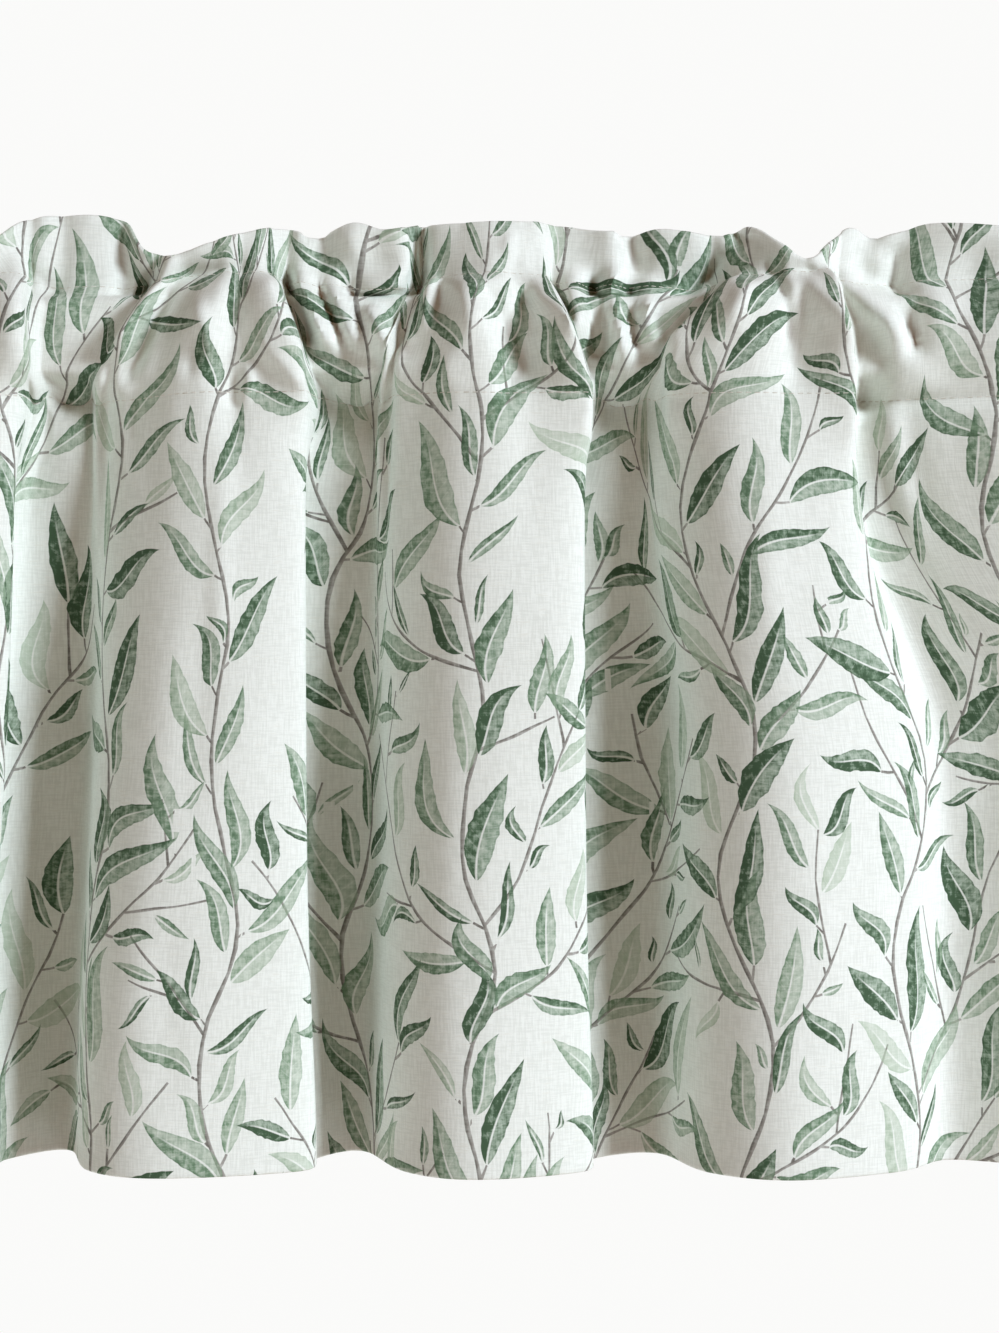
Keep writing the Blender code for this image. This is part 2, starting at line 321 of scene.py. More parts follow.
@dataclass(frozen=True)
class FoldPlan:
    """The valance's seven folds in plan, at the pocket's foot, at the hem and at the frill's foot."""

    at_pocket: tuple[Fold, ...] = (
        Fold(-43.2, -41.9, -40.1, -36.6, -36.2),
        Fold(-34.8, -33.0, -28.4, -23.0, -22.5),
        Fold(-20.3, -18.4, -14.5, -9.3, -8.8),
        Fold(-6.6, -4.9, -1.5, 3.9, 4.4),
        Fold(6.4, 7.9, 11.0, 16.3, 16.8),
        Fold(18.6, 20.4, 24.8, 29.9, 30.3),
        Fold(31.9, 33.9, 38.0, 41.9, 42.6),
    )
    at_hem: tuple[Fold, ...] = (
        Fold(-43.2, -42.0, -40.6, -36.5, -36.2),
        Fold(-34.4, -32.4, -29.4, -24.4, -24.0),
        Fold(-21.4, -19.5, -15.8, -9.3, -8.9),
        Fold(-6.8, -4.5, -1.1, 4.1, 4.5),
        Fold(7.7, 9.8, 13.6, 19.0, 21.5),
        Fold(23.5, 27.0, 30.8, 34.5, 34.9),
        Fold(37.3, 39.2, 41.0, 42.7, 43.2),
    )
    at_neck: tuple[Fold, ...] = (
        Fold(-43.0, -41.8, -40.1, -37.4, -36.8),
        Fold(-34.6, -32.6, -28.6, -22.9, -22.3),
        Fold(-18.9, -15.8, -13.2, -10.8, -10.0),
        Fold(-5.2, -3.4, -0.8, 2.0, 2.8),
        Fold(9.0, 11.0, 13.4, 15.6, 16.2),
        Fold(18.4, 20.0, 24.2, 28.6, 29.4),
        Fold(32.6, 34.4, 37.8, 41.0, 42.0),
    )
    back_at_pocket: Fold = Fold(0.70, -0.20, -1.0, -0.80, 0.30)
    back_at_hem: Fold = Fold(0.95, -0.47, -1.0, -0.45, 0.38)
    reaches: tuple[Reach, ...] = (
        Reach(0.70, 0.80, 0.9),
        Reach(0.90, 0.95, 1.3),
        Reach(1.12, 0.92, 1.4),
        Reach(1.04, 1.00, 1.5),
        Reach(0.88, 1.04, 0.0, 0.50),
        Reach(0.25, 0.52, 0.8, 0.50),
        Reach(0.95, 0.75, 0.0),
    )
    pinches: tuple[Pinch, ...] = (
        Pinch(-39.0, 1.0, 0.50),
        Pinch(-31.6, 1.2, 0.55),
        Pinch(-28.6, 0.9, 0.45),
        Pinch(-25.3, 1.1, 0.60),
        Pinch(-19.2, 1.2, 0.55),
        Pinch(-16.6, 0.9, 0.50),
        Pinch(-12.7, 0.8, 0.25),
        Pinch(-4.3, 1.0, 0.55),
        Pinch(1.3, 1.1, 0.60),
        Pinch(7.6, 1.0, 0.60),
        Pinch(14.0, 1.2, 0.45),
        Pinch(21.9, 1.1, 0.45),
        Pinch(27.6, 1.2, 0.55),
        Pinch(33.2, 1.0, 0.50),
        Pinch(39.8, 1.0, 0.45),
    )
    frill_edge: tuple[Frill, ...] = (
        Frill(-43.5, 0.6, 0.0),
        Frill(-40.8, 0.3, 0.3),
        Frill(-37.6, 1.3, -0.3),
        Frill(-35.8, 0.5, 0.1),
        Frill(-31.0, 0.2, 0.4),
        Frill(-27.6, 0.7, 0.1),
        Frill(-24.6, 1.8, 0.5),
        Frill(-22.8, 0.3, -0.1),
        Frill(-20.2, 0.0, -0.4),
        Frill(-18.1, 0.3, -0.3),
        Frill(-16.8, 1.9, 0.7),
        Frill(-15.4, 2.1, 0.7),
        Frill(-13.0, 1.3, 0.1),
        Frill(-10.2, 0.7, -0.3),
        Frill(-8.8, 1.2, 0.2),
        Frill(-7.0, 0.5, 0.5),
        Frill(-5.5, 0.9, 0.6),
        Frill(-4.2, 0.6, 0.0),
        Frill(-1.0, 0.5, -0.4),
        Frill(3.0, 0.5, -0.4),
        Frill(6.0, 1.0, -0.1),
        Frill(7.8, 0.8, 0.4),
        Frill(10.6, 1.1, 0.3),
        Frill(12.0, 0.7, -0.2),
        Frill(13.4, 1.7, 0.3),
        Frill(14.7, 2.4, 0.4),
        Frill(16.7, 0.7, 0.1),
        Frill(18.3, 1.1, -0.2),
        Frill(20.4, 0.5, 0.2),
        Frill(24.2, 0.7, 0.3),
        Frill(27.4, 0.9, -0.1),
        Frill(29.6, 1.9, 0.5),
        Frill(32.4, 0.5, -0.2),
        Frill(35.6, 0.4, -0.3),
        Frill(38.2, 1.4, 0.4),
        Frill(40.4, 0.6, 0.1),
        Frill(43.5, 0.7, 0.0),
    )


@dataclass
class HangingFront:
    """The panel's front as it hangs: skirt, front of the pocket and front of the frill, row by row.

    Rows run up from the hem. Columns run from left to right, closer together where the listed creases lie.
    Sizes are in metres, and a reach is how far the folds come forward of the rod's middle or go behind it.
    """

    cut: PanelCut
    plan: FoldPlan
    columns: int = 430
    skirt_step: float = 0.0108
    pocket_rows: int = 29
    frill_rows: int = 10
    pocket_crowding: float = 0.4  # how much closer together the pocket's rows lie at the stitches
    fine_reach: float = 0.375  # of the closer columns, from the middle of the flat cloth
    fine_ease: float = 0.04
    fine_ratio: float = 3.0
    table_ease: float = 1.6  # columns over which what the tables say is evened out
    flat_samples: int = 4000  # across the cloth, at which the columns' density is worked out
    hem_samples: int = 6000  # along the hem, whose length is measured
    neck_front: float = 0.016  # the folds' reaches at the upper stitches
    neck_back: float = -0.004
    foot_front: float = 0.030  # their reaches at the lower stitches
    foot_back: float = 0.010
    hem_wave: float = 0.034  # their reach to both sides at the hem
    wave_bend: float = 0.12  # share of the depth over which one reach takes over from the other
    rod_front: float = 0.0105  # from the rod's middle to the nearest cloth in front
    front_swell: float = 0.0225
    rod_side: float = 0.013  # from the rod's middle to the nearest cloth behind
    swell: float = 0.013
    swell_power: float = 1.2
    pinch_depth: float = 0.006
    pinch_reach: float = 0.090
    opening_power: float = 1.4  # how late the gathers open into the hem's folds
    deep_share: float = 0.5  # of the skirt's height, by which the folds are as deep as at the hem
    deep_power: float = 0.8
    lap_starts: float = 0.15
    lap_ends: float = 0.55
    crown_power: float = 0.65  # fullness of the pocket's upper half at a crown, where 1 is a plain sine
    pit_power: float = 0.8
    foot_power: float = 0.6
    back_power: float = 0.5
    neck_dip: float = 0.005  # how much lower the upper stitches are drawn in the recesses
    neck_power: float = 1.3
    frill_flatter: float = 0.15
    frill_ease: float = 6.0  # columns over which the frill's edge evens out

    def __post_init__(self) -> None:
        """Reads the fold tables at the mesh's columns."""
        plan = self.plan
        self.flat_across = self._flat_columns()
        self.places = self._even_places()
        self.across_pocket = self._read(self._flattened(plan.at_pocket) * CM)
        self.across_hem = self._read(self._flattened(plan.at_hem) * CM)
        self.across_neck = self._read(self._flattened(plan.at_neck) * CM)
        self.back_pocket = self._read(self._reached(plan.back_at_pocket))
        self.back_hem = self._read(self._reached(plan.back_at_hem))
        self.lapped = self._read(self._flattened(Fold(0, 0, 0, 0, reach.lap) for reach in plan.reaches) * CM)
        self.opens = self._read(self._flattened(Fold(*[reach.opens] * 5) for reach in plan.reaches))
        self.pinched = self._pinched()
        self.neck_height = self.cut.upper_row - self.neck_dip * smooth(0.5 + 0.5 * self.back_pocket)
        self.skirt_heights = self._skirt_heights()
        even = np.linspace(1.0, 0.0, self.pocket_rows + 1)
        self.pocket_downs = (1.0 - self.pocket_crowding) * even + self.pocket_crowding * smooth(even)
        self.frill_ups = np.linspace(0.0, 1.0, self.frill_rows + 1)

    @staticmethod
    def _flattened(rows: Iterable[Fold]) -> Array:
        """Returns the values of a table of folds, one after another from left to right."""
        return np.array([value for row in rows for value in row], float)

    def _reached(self, shares: Fold) -> Array:
        """Returns how far back the places of every fold lie, each as far as its fold reaches."""
        reaches = self.plan.reaches
        rows = [[back * (reach.back if back > 0 else reach.front) for back in shares] for reach in reaches]
        return self._flattened(rows)

    def _read(self, table: Array) -> Array:
        """Returns what a flattened table says at the mesh's columns."""
        return evened(eased_curve(table, self.places), self.table_ease)

    def _flat_columns(self) -> Array:
        """Returns the columns' places on the flat cloth, closer together where the listed creases lie."""
        flat = np.linspace(0.0, self.cut.width, self.flat_samples)
        off = np.abs(flat - 0.5 * self.cut.width)
        dense = 1.0 + (self.fine_ratio - 1.0) * smooth((self.fine_reach - off) / self.fine_ease)
        count = np.concatenate([[0.0], np.cumsum(0.5 * (dense[1:] + dense[:-1]))])
        return np.interp(np.linspace(0.0, count[-1], self.columns), count, flat)

    def _even_places(self) -> Array:
        """Returns the places in the tables on which the columns stand, in proportion along the hem."""
        across = self._flattened(self.plan.at_hem) * CM
        dense = np.linspace(0.0, len(across) - 1, self.hem_samples)
        x = eased_curve(across, dense)
        y = eased_curve(self._reached(self.plan.back_at_hem), dense) * self.hem_wave
        length = np.concatenate([[0.0], np.cumsum(np.hypot(np.diff(x), np.diff(y)))])
        return np.interp(self.flat_across * length[-1] / self.cut.width, length, dense)

    def _pinched(self) -> Array:
        """Returns the share of the pocket's swell that the gathers take away in each column."""
        left = np.ones(self.columns)
        across = self.across_pocket / CM
        for pinch in self.plan.pinches:
            left *= 1.0 - pinch.share * np.exp(-(((across - pinch.across) / pinch.width) ** 2))
        return 1.0 - left

    def _skirt_heights(self) -> Array:
        """Returns the heights of the skirt's rows, closer together at the hem and below the pocket."""
        cut = self.cut
        near_hem = cut.hem + np.array([0.0, 1.5, 4.0, 9.0, 15.0, 22.0, 30.0]) * MM
        near_row = cut.lower_row - np.array([9.0, cut.tail / MM, 3.5, 1.5, 0.0]) * MM
        count = int(round((near_row[0] - near_hem[-1]) / self.skirt_step))
        between = np.linspace(near_hem[-1], near_row[0], count + 1)[1:-1]
        return np.concatenate([near_hem, between, near_row])

    def _skirt_row(self, height: float) -> Array:
        """Lays one row of the skirt, which opens from the gathers into the full folds of the hem.

        Args:
            height: the row's height.

        Returns:
            The row's points.
        """
        lower, hem = self.cut.lower_row, self.cut.hem
        down = (lower - height) / (lower - hem)
        share = smooth(down / self.opens) ** self.opening_power
        deep = smooth(down / self.deep_share) ** self.deep_power
        opens = smooth((down - self.lap_ends) / (1.0 - self.lap_ends))
        lap = self.lapped * smooth(down / self.lap_starts) * (1.0 - opens)
        across = self.across_pocket + (self.across_hem - self.across_pocket) * share - lap
        back = self.back_pocket + (self.back_hem - self.back_pocket) * share
        fore = self.foot_front + (self.hem_wave - self.foot_front) * deep
        aft = self.foot_back + (self.hem_wave - self.foot_back) * deep
        near = 1.0 - smooth((lower - height) / self.pinch_reach)
        back = self._waved(back, fore, aft) + self.pinch_depth * self.pinched * near
        return np.stack([across, back, np.full_like(across, height)], axis=1)

    def _waved(self, back: Array, fore: float, aft: float) -> Array:
        """Turns shares of the folds' reach to the front and the back, from -1 at the front, into metres."""
        middle = 0.5 * (1.0 + back / np.hypot(back, self.wave_bend))
        return back * (fore + (aft - fore) * middle)

    def seam(self, down: float) -> Array:
        """Lays a flat line between the two stitch rows.

        Args:
            down: where it lies, from 0 at the upper row to 1 at the lower one.

        Returns:
            The line's points.
        """
        fore = self.neck_front + (self.foot_front - self.neck_front) * down
        aft = self.neck_back + (self.foot_back - self.neck_back) * down
        back = self._waved(self.back_pocket, fore, aft) + self.pinch_depth * self.pinched
        height = self.neck_height + (self.cut.lower_row - self.neck_height) * down
        drawn = (1.0 - down) ** self.neck_power
        across = self.across_pocket + (self.across_neck - self.across_pocket) * drawn
        return np.stack([across, back, height], axis=1)

    def swollen(self, side: int) -> Array:
        """Tells how far back the pocket's cloth lies at its fullest.

        Args:
            side: -1 for its front and 1 for its back.

        Returns:
            The depth of each column.
        """
        if side > 0:
            return self.rod_side + self.swell * (1.0 - self.pinched) * (self.back_pocket + 1) / 2
        share = np.clip(0.5 * (1.0 - self.back_pocket), 0.0, 1.0) ** self.swell_power
        return -self.rod_front - self.front_swell * (1.0 - self.pinched) * share

    def _pocket_row(self, down: float) -> Array:
        """Lays one row of the pocket's front.

        Args:
            down: where it lies, from 0 at the upper stitches to 1 at the lower ones.

        Returns:
            The row's points.
        """
        row = self.seam(down)
        upper = self.pit_power + (self.crown_power - self.pit_power) * smooth(-self.back_pocket)
        power = upper if down < 0.5 else self.foot_power
        row[:, 1] += (self.swollen(-1) - row[:, 1]) * np.sin(np.pi * down) ** power
        return row

    def _frill_row(self, up: float) -> Array:
        """Lays one row of the frill.

        Args:
            up: where it lies, from 0 at the stitches to 1 at the frill's edge.

        Returns:
            The row's points.
        """
        table = np.array(self.plan.frill_edge) * CM
        across = self.across_neck + (evened(self.across_neck, self.frill_ease) - self.across_neck) * up
        places = np.interp(across, table[:, 0], np.arange(len(table)))
        drop = eased_curve(table[:, 1], places)
        lean = eased_curve(table[:, 2], places)
        drawn = self.pinch_depth * self.pinched * (1.0 - up)
        wave = self._waved(self.back_pocket, self.neck_front, self.neck_back)
        back = wave * (1.0 - self.frill_flatter * up) + drawn
        height = self.neck_height + (-drop - self.neck_height) * up
        return np.stack([across, back - lean * smooth(up), height], axis=1)

    def rows(self) -> Array:
        """Returns the front's points, by row, column and axis."""
        skirt = [self._skirt_row(height) for height in self.skirt_heights]
        pocket = [self._pocket_row(down) for down in self.pocket_downs[1:]]
        frill = [self._frill_row(up) for up in self.frill_ups[1:]]
        return np.array(skirt + pocket + frill)

    @property
    def hem_top(self) -> int:
        """Index of the row to which the hem is turned up."""
        return int(np.argmin(np.abs(self.skirt_heights - self.cut.hem - self.cut.hem_turn)))

    @property
    def foot(self) -> int:
        """Index of the row at the lower stitches."""
        return len(self.skirt_heights) - 1

    @property
    def neck(self) -> int:
        """Index of the row at the upper stitches."""
        return self.foot + self.pocket_rows


def backward(points: Array) -> Array:
    """Finds which way is behind the cloth.

    Args:
        points: the cloth's points, by row, column and axis.

    Returns:
        The unit normal at each point, pointing away from the printed face.
    """
    along = np.gradient(points, axis=1)
    up = np.gradient(points, axis=0)
    normal = np.cross(up, along)
    return normal / np.maximum(np.linalg.norm(normal, axis=2, keepdims=True), 1e-12)


def flat_up(points: Array) -> Array:
    """Returns how far up the flat cloth each row of a grid lies from its first, in metres."""
    steps = np.linalg.norm(np.diff(points, axis=0), axis=2)
    return np.concatenate([[0.0], np.cumsum(np.median(steps, axis=1))])


HEADER_CREASES = (
    # The left fold: its edge, the recess beside it, and a small hollow at the frill.
    Crease(-23.0, -2.4, -22.5, -8.0, 0.9, 0.24, 7.0, 4.0),
    Crease(-21.6, -5.0, -20.8, -9.2, 0.5, 1.3, -11.0),
    Crease(-24.0, -1.8, -23.4, -3.0, 0.3, 0.3, -6.0),
    Crease(-22.3, -2.6, -21.4, -4.0, 0.45, 0.5, -5.0),
    Crease(-20.6, -5.2, -18.6, -4.2, 0.5, 0.5, -3.0),
    # The slanting roll between the first two lobes, with a crease on its left and a valley on its right.
    Crease(-15.6, -2.4, -18.3, -6.7, 0.42, 0.42, 14.5, 0.0, 2.3),
    Crease(-16.7, -2.9, -19.2, -7.2, 0.30, 0.30, -10.0),
    Crease(-15.8, -3.6, -17.8, -8.0, 0.30, 0.55, -10.0),
    # The second lobe: the dent along its top, its sharp right edge and the hollow beside it.
    Crease(-15.2, -2.75, -11.8, -2.75, 0.2, 0.25, -3.0),
    Crease(-11.0, -3.2, -9.7, -6.6, 1.2, 0.24, 7.0, 4.5),
    Crease(-9.75, -6.2, -9.3, -9.8, 1.0, 0.24, 6.0, 4.0),
    Crease(-10.4, -2.8, -9.3, -6.2, 0.28, 0.36, -13.0),
    Crease(-8.7, -6.8, -8.4, -11.0, 0.3, 1.0, -6.0),
    Crease(-12.6, -4.6, -10.8, -8.6, 0.5, 0.9, -2.5),
    # The crumpled tubes between the second lobe and the middle one.
    Crease(-9.7, -2.8, -7.8, -7.0, 0.42, 0.42, 17.0, 0.0, 2.3),
    Crease(-8.9, -3.2, -7.2, -6.6, 0.22, 0.22, -6.0),
    Crease(-8.2, -3.0, -6.7, -6.6, 0.36, 0.36, 14.5, 0.0, 2.3),
    Crease(-7.4, -3.2, -6.2, -5.8, 0.22, 0.22, -5.0),
    Crease(-6.8, -3.4, -4.5, -3.1, 0.40, 0.34, 13.0, 3.0, 2.3),
    Crease(-6.4, -4.3, -5.0, -7.0, 0.50, 0.48, 15.5, 0.0, 2.3),
    Crease(-6.4, -4.15, -4.6, -4.0, 0.22, 0.22, -9.0),
    Crease(-3.7, -2.7, -5.2, -7.2, 0.28, 0.26, -15.0),
    Crease(-3.2, -2.9, -3.5, -5.8, 0.24, 0.30, 6.0, -1.5),
    Crease(-7.0, -6.4, -6.9, -10.0, 1.3, 1.2, -9.0),
    Crease(-4.6, -6.6, -4.8, -11.0, 0.24, 0.90, 5.0, -2.0),
    # The middle lobe: the soft troughs at its top and its sharp right edge.
    Crease(-2.9, -3.2, -2.7, -5.0, 0.32, 0.42, -7.0),
    Crease(-1.6, -3.2, -1.0, -5.8, 0.45, 0.55, 3.5),
    Crease(-0.5, -3.8, 0.5, -6.5, 0.45, 0.50, -7.0),
    Crease(1.3, -4.0, 1.6, -6.0, 0.35, 0.40, -6.0),
    Crease(2.3, -4.4, 3.9, -8.4, 1.2, 0.24, 7.0, 4.5),
    Crease(3.95, -8.0, 4.0, -11.0, 1.0, 0.24, 5.0, 4.0),
    Crease(5.0, -7.2, 5.4, -10.0, 0.5, 1.8, -8.0),
    # The tubes to its right, down to the pinch.
    Crease(3.4, -2.8, 3.9, -6.2, 0.50, 0.46, 14.5, 0.0, 2.3),
    Crease(4.5, -2.8, 4.65, -6.8, 0.26, 0.26, -15.0),
    Crease(5.3, -2.9, 5.9, -7.4, 0.42, 0.38, 17.0, 0.0, 2.3),
    Crease(6.1, -3.5, 6.4, -6.4, 0.24, 0.26, -13.0),
    Crease(6.9, -2.9, 7.2, -6.3, 0.42, 0.42, 14.5, 0.0, 2.3),
    Crease(4.0, -6.4, 5.2, -6.5, 0.22, 0.22, -6.0),
    Crease(4.2, -6.95, 5.2, -7.0, 0.22, 0.22, 5.0),
    Crease(6.6, -6.7, 7.8, -7.2, 0.30, 0.35, -10.0),
    # The fifth lobe: its long slanting edge, and the sharp one at its right.
    Crease(10.7, -2.1, 7.0, -5.9, 0.45, 0.26, -13.0),
    Crease(11.7, -3.1, 7.9, -7.0, 0.30, 1.30, 9.0, -5.0),
    Crease(8.2, -6.9, 8.3, -11.0, 0.25, 1.20, 5.0, -3.0),
    Crease(12.9, -2.2, 13.1, -4.4, 0.40, 0.40, -5.0),
    Crease(15.2, -2.6, 16.3, -7.2, 1.1, 0.24, 7.0, 4.0),
    Crease(16.3, -7.0, 16.4, -11.0, 0.9, 0.24, 5.0, 3.5),
    Crease(17.3, -5.4, 17.6, -9.5, 0.35, 0.90, -12.0),
    # The sixth lobe: its slanting roll, the curved crease behind that, and a soft trough.
    Crease(16.2, -2.7, 18.9, -6.4, 0.55, 0.52, 12.0, 0.0, 3.0),
    Crease(17.3, -2.3, 18.6, -3.4, 0.30, 0.30, -5.0),
    Crease(19.1, -1.4, 18.9, -3.5, 0.28, 0.28, -10.0),
    Crease(19.0, -3.3, 19.9, -6.8, 0.28, 0.30, -14.0),
    Crease(20.0, -3.2, 20.8, -5.2, 0.35, 0.70, 5.0),
    Crease(22.8, -1.4, 22.8, -5.0, 0.50, 0.50, -5.0),
    # The slack below the pocket there, which fills the step at its foot.
    Crease(16.9, -9.9, 25.3, -9.9, 1.1, 3.2, 9.0),
    # The frill's own folds, from left to right.
    Crease(-9.6, -0.6, -9.4, -2.4, 0.60, 0.18, 4.0),
    Crease(-8.4, -1.0, -8.3, -2.6, 0.40, 0.35, -6.0),
    Crease(-7.1, -0.6, -6.9, -2.3, 0.40, 0.45, 5.0),
    Crease(-4.0, -0.6, -4.1, -3.0, 0.22, 0.40, -9.0),
    Crease(-4.8, -0.5, -4.7, -3.0, 0.60, 0.26, 5.0, 4.0),
    Crease(5.2, -0.6, 5.4, -3.2, 0.90, 0.26, 6.0, 4.0),
    Crease(6.3, -0.8, 6.8, -4.2, 0.35, 0.60, -9.0),
    Crease(11.0, -0.4, 11.8, -1.3, 0.28, 0.28, -6.0),
)

# The gathers past both sides of the picture repeat those between the second lobe and the middle one.
REPEATED_GATHERS = (-10.8, -3.3)
REPEATS_ASIDE = (-27.5, 38.5)
FAR_CREASES = tuple(
    crease._replace(x0=crease.x0 + aside, x1=crease.x1 + aside)
    for aside in REPEATS_ASIDE
    for crease in HEADER_CREASES
    if REPEATED_GATHERS[0] < crease.x0 < REPEATED_GATHERS[1]
)


class Pleats(NamedTuple):
    """One family of small pleats along the stitches, in metres.

    pitch is their mean pitch on the flat cloth and depth their height as a share of it. reach is how far from
    the stitches they run, fade how suddenly they end there, and slant how far across they wander as they go.
    """

    pitch: float
    depth: float
    reach: float
    fade: float
    slant: float


class Wrinkles(Enum):
    """Small wrinkles at random: their number, and each one's slant, length, half width and rise.

    Lengths and widths are in centimetres and lie between two values. The slant, as a share of the length,
    and the rise, in millimetres, are drawn about zero with the deviation that is given.
    """

    HEADER = (190, 0.55, (1.0, 3.2), (0.22, 0.50), 2.4)
    SKIRT = (60, 0.10, (6.0, 16.0), (0.5, 1.3), 0.9)

    def __init__(self, count: int, slant: float, lengths: Pair, widths: Pair, rise: float) -> None:
        """Keeps the values under their names."""
        self.count = count
        self.slant = slant
        self.lengths = lengths
        self.widths = widths
        self.rise = rise


@dataclass
class Gathers:
    """The small pleats along both stitch rows, the listed creases, and the small random wrinkles."""

    front: HangingFront
    seed: int = 7
    short: Pleats = Pleats(pitch=0.019, depth=0.14, reach=0.014, fade=1.0, slant=0.35)
    long: Pleats = Pleats(pitch=0.044, depth=0.20, reach=0.055, fade=1.5, slant=0.55)
    pitch_spread: Pair = (0.62, 1.38)
    depth_spread: Pair = (0.45, 1.25)
    valley_round: float = 0.02
    mean_height: float = 1.1  # taken off a pleat's profile, so that it rises and dips about as much
    spare_pleats: int = 8
    pleats_before: int = 3
    drift_knots: int = 24
    drift_ease: float = 8.0
    column_ease: float = 5.0
    most_spare: float = 0.25
    most_drawn: float = 1.02  # share of the flat width at which cloth has nothing left to pleat
    smooth_crowns: float = 0.30  # share of the pleats that a fold's crown keeps
    crown_ends: float = 0.6
    row_wander: float = 0.0015
    row_reach: float = 0.014
    row_knots: int = 40
    half_span: float = 43.5  # of the wrinkles to either side, in centimetres
    header_tops: tuple[float, ...] = (-0.8, -3.0, -3.2, -4.5, -6.0, -7.5)
    top_spread: float = 0.5
    frill_foot: float = -2.5
    frill_share: float = 0.5  # of their rise, that wrinkles in the frill keep
    skirt_tops: Pair = (-34.0, -9.0)
    relax_before: int = 5
    relax_after: int = 3
    relax_ramp: float = 0.03
    relax_rows: int = 12
    rod_room: Pair = (0.04, 0.97)  # the pocket's height that is kept free for the rod
    room_eases: Pair = (0.16, 0.20)
    past_room: float = 0.02
    crease_past: float = 0.12  # how far a crease runs past its ends, as a share of its length
    crease_fade: float = 0.3
    crease_foot: float = 0.445  # how far down creases reach
    foot_fade: float = 0.03
    creases: tuple[Crease, ...] = HEADER_CREASES + FAR_CREASES

    def _pleated(self, rng: np.random.Generator, pleats: Pleats, away: Array) -> Array:
        """Lays one family of pleats.

        Args:
            rng: where their uneven pitch comes from.
            pleats: the family.
            away: how far each point lies from its stitch row.

        Returns:
            How far they rise at each point, by row and column, if the cloth is gathered fully.
        """
        width = self.front.cut.width
        flat = self.front.flat_across
        count = int(width / pleats.pitch) + self.spare_pleats
        stops = np.cumsum(rng.uniform(*self.pitch_spread, count)) * pleats.pitch
        stops -= self.pleats_before * pleats.pitch
        knots = np.linspace(0.0, width, self.drift_knots)
        drift = np.interp(flat, knots, rng.uniform(-pleats.slant, pleats.slant, len(knots)))
        shifted = flat[None, :] + evened(drift, self.drift_ease)[None, :] * away
        phase = np.interp(shifted, stops, np.arange(count))
        valley = np.sqrt(np.sin(np.pi * phase) ** 2 + self.valley_round)
        depth = np.interp(shifted, stops, rng.uniform(*self.depth_spread, count))
        profile = (2.0 * valley - self.mean_height) * depth
        return pleats.depth * pleats.pitch * (profile * np.exp(-((away / pleats.reach) ** pleats.fade)))

    def _away(self, points: Array) -> Array:
        """Returns each point's distance from the nearest stitch row, by its height."""
        height = points[:, :, 2]
        cut = self.front.cut
        return np.minimum(np.abs(height - cut.upper_row), np.abs(height - cut.lower_row))

    def _spare(self, points: Array) -> Array:
        """Returns how much each place has to be pleated, from how close its columns are drawn together."""
        drawn = np.linalg.norm(np.gradient(points, axis=1), axis=2) / np.gradient(self.front.flat_across)
        drawn = np.array([evened(row, self.column_ease) for row in drawn])
        return np.sqrt(np.clip(drawn * (self.most_drawn - drawn), 0.0, self.most_spare))

    def lay(self, points: Array) -> Array:
        """Pleats the front along its stitch rows, then lays the creases.

        Args:
            points: the front's points before the gathers.

        Returns:
            The points with pleats and creases.
        """
        front = self.front
        rng = np.random.default_rng(self.seed)
        spare = self._spare(points)
        away = self._away(points)
        pleated = sum(self._pleated(rng, pleats, away) for pleats in (self.short, self.long))
        crowns = smooth(self.crown_ends + front.back_pocket)
        spare = spare * (self.smooth_crowns + (1.0 - self.smooth_crowns) * crowns)
        points = points - backward(points) * (spare * pleated)[:, :, None]
        knots = np.linspace(0.0, front.cut.width, self.row_knots)
        wander = np.interp(front.flat_across, knots, rng.uniform(-1.0, 1.0, len(knots)))
        near = np.exp(-(((points[:, :, 2] - front.cut.lower_row) / self.row_reach) ** 2))
        points[:, :, 2] += self.row_wander * evened(wander, self.column_ease) * near
        points = self._relaxed(points, self.relax_before)
        for crease in (*self.creases, *self._wrinkled(rng)):
            points = self._creased(points, crease)
        return self._kept_off_rod(self._relaxed(points, self.relax_after))

    def _wrinkled(self, rng: np.random.Generator) -> list[Crease]:
        """Draws the small wrinkles at random, short ones in the header and long faint ones in the skirt.

        Args:
            rng: where they are drawn from.

        Returns:
            The wrinkles, as creases.
        """
        made = []
        for kind in [kind for kind in Wrinkles for _ in range(kind.count)]:
            across = rng.uniform(-self.half_span, self.half_span)
            top = self._wrinkle_top(rng, kind)
            slant = rng.normal(0.0, kind.slant)
            length = rng.uniform(*kind.lengths)
            width = rng.uniform(*kind.widths)
            rise = rng.normal(0.0, kind.rise) * (self.frill_share if top > self.frill_foot else 1.0)
            made.append(Crease(across, top, across + slant * length, top - length, width, width, rise))
        return made

    def _wrinkle_top(self, rng: np.random.Generator, kind: Wrinkles) -> float:
        """Returns the height at which a wrinkle starts, in centimetres."""
        if kind is Wrinkles.SKIRT:
            return rng.uniform(*self.skirt_tops)
        return rng.choice(self.header_tops) - rng.uniform(0.0, self.top_spread)

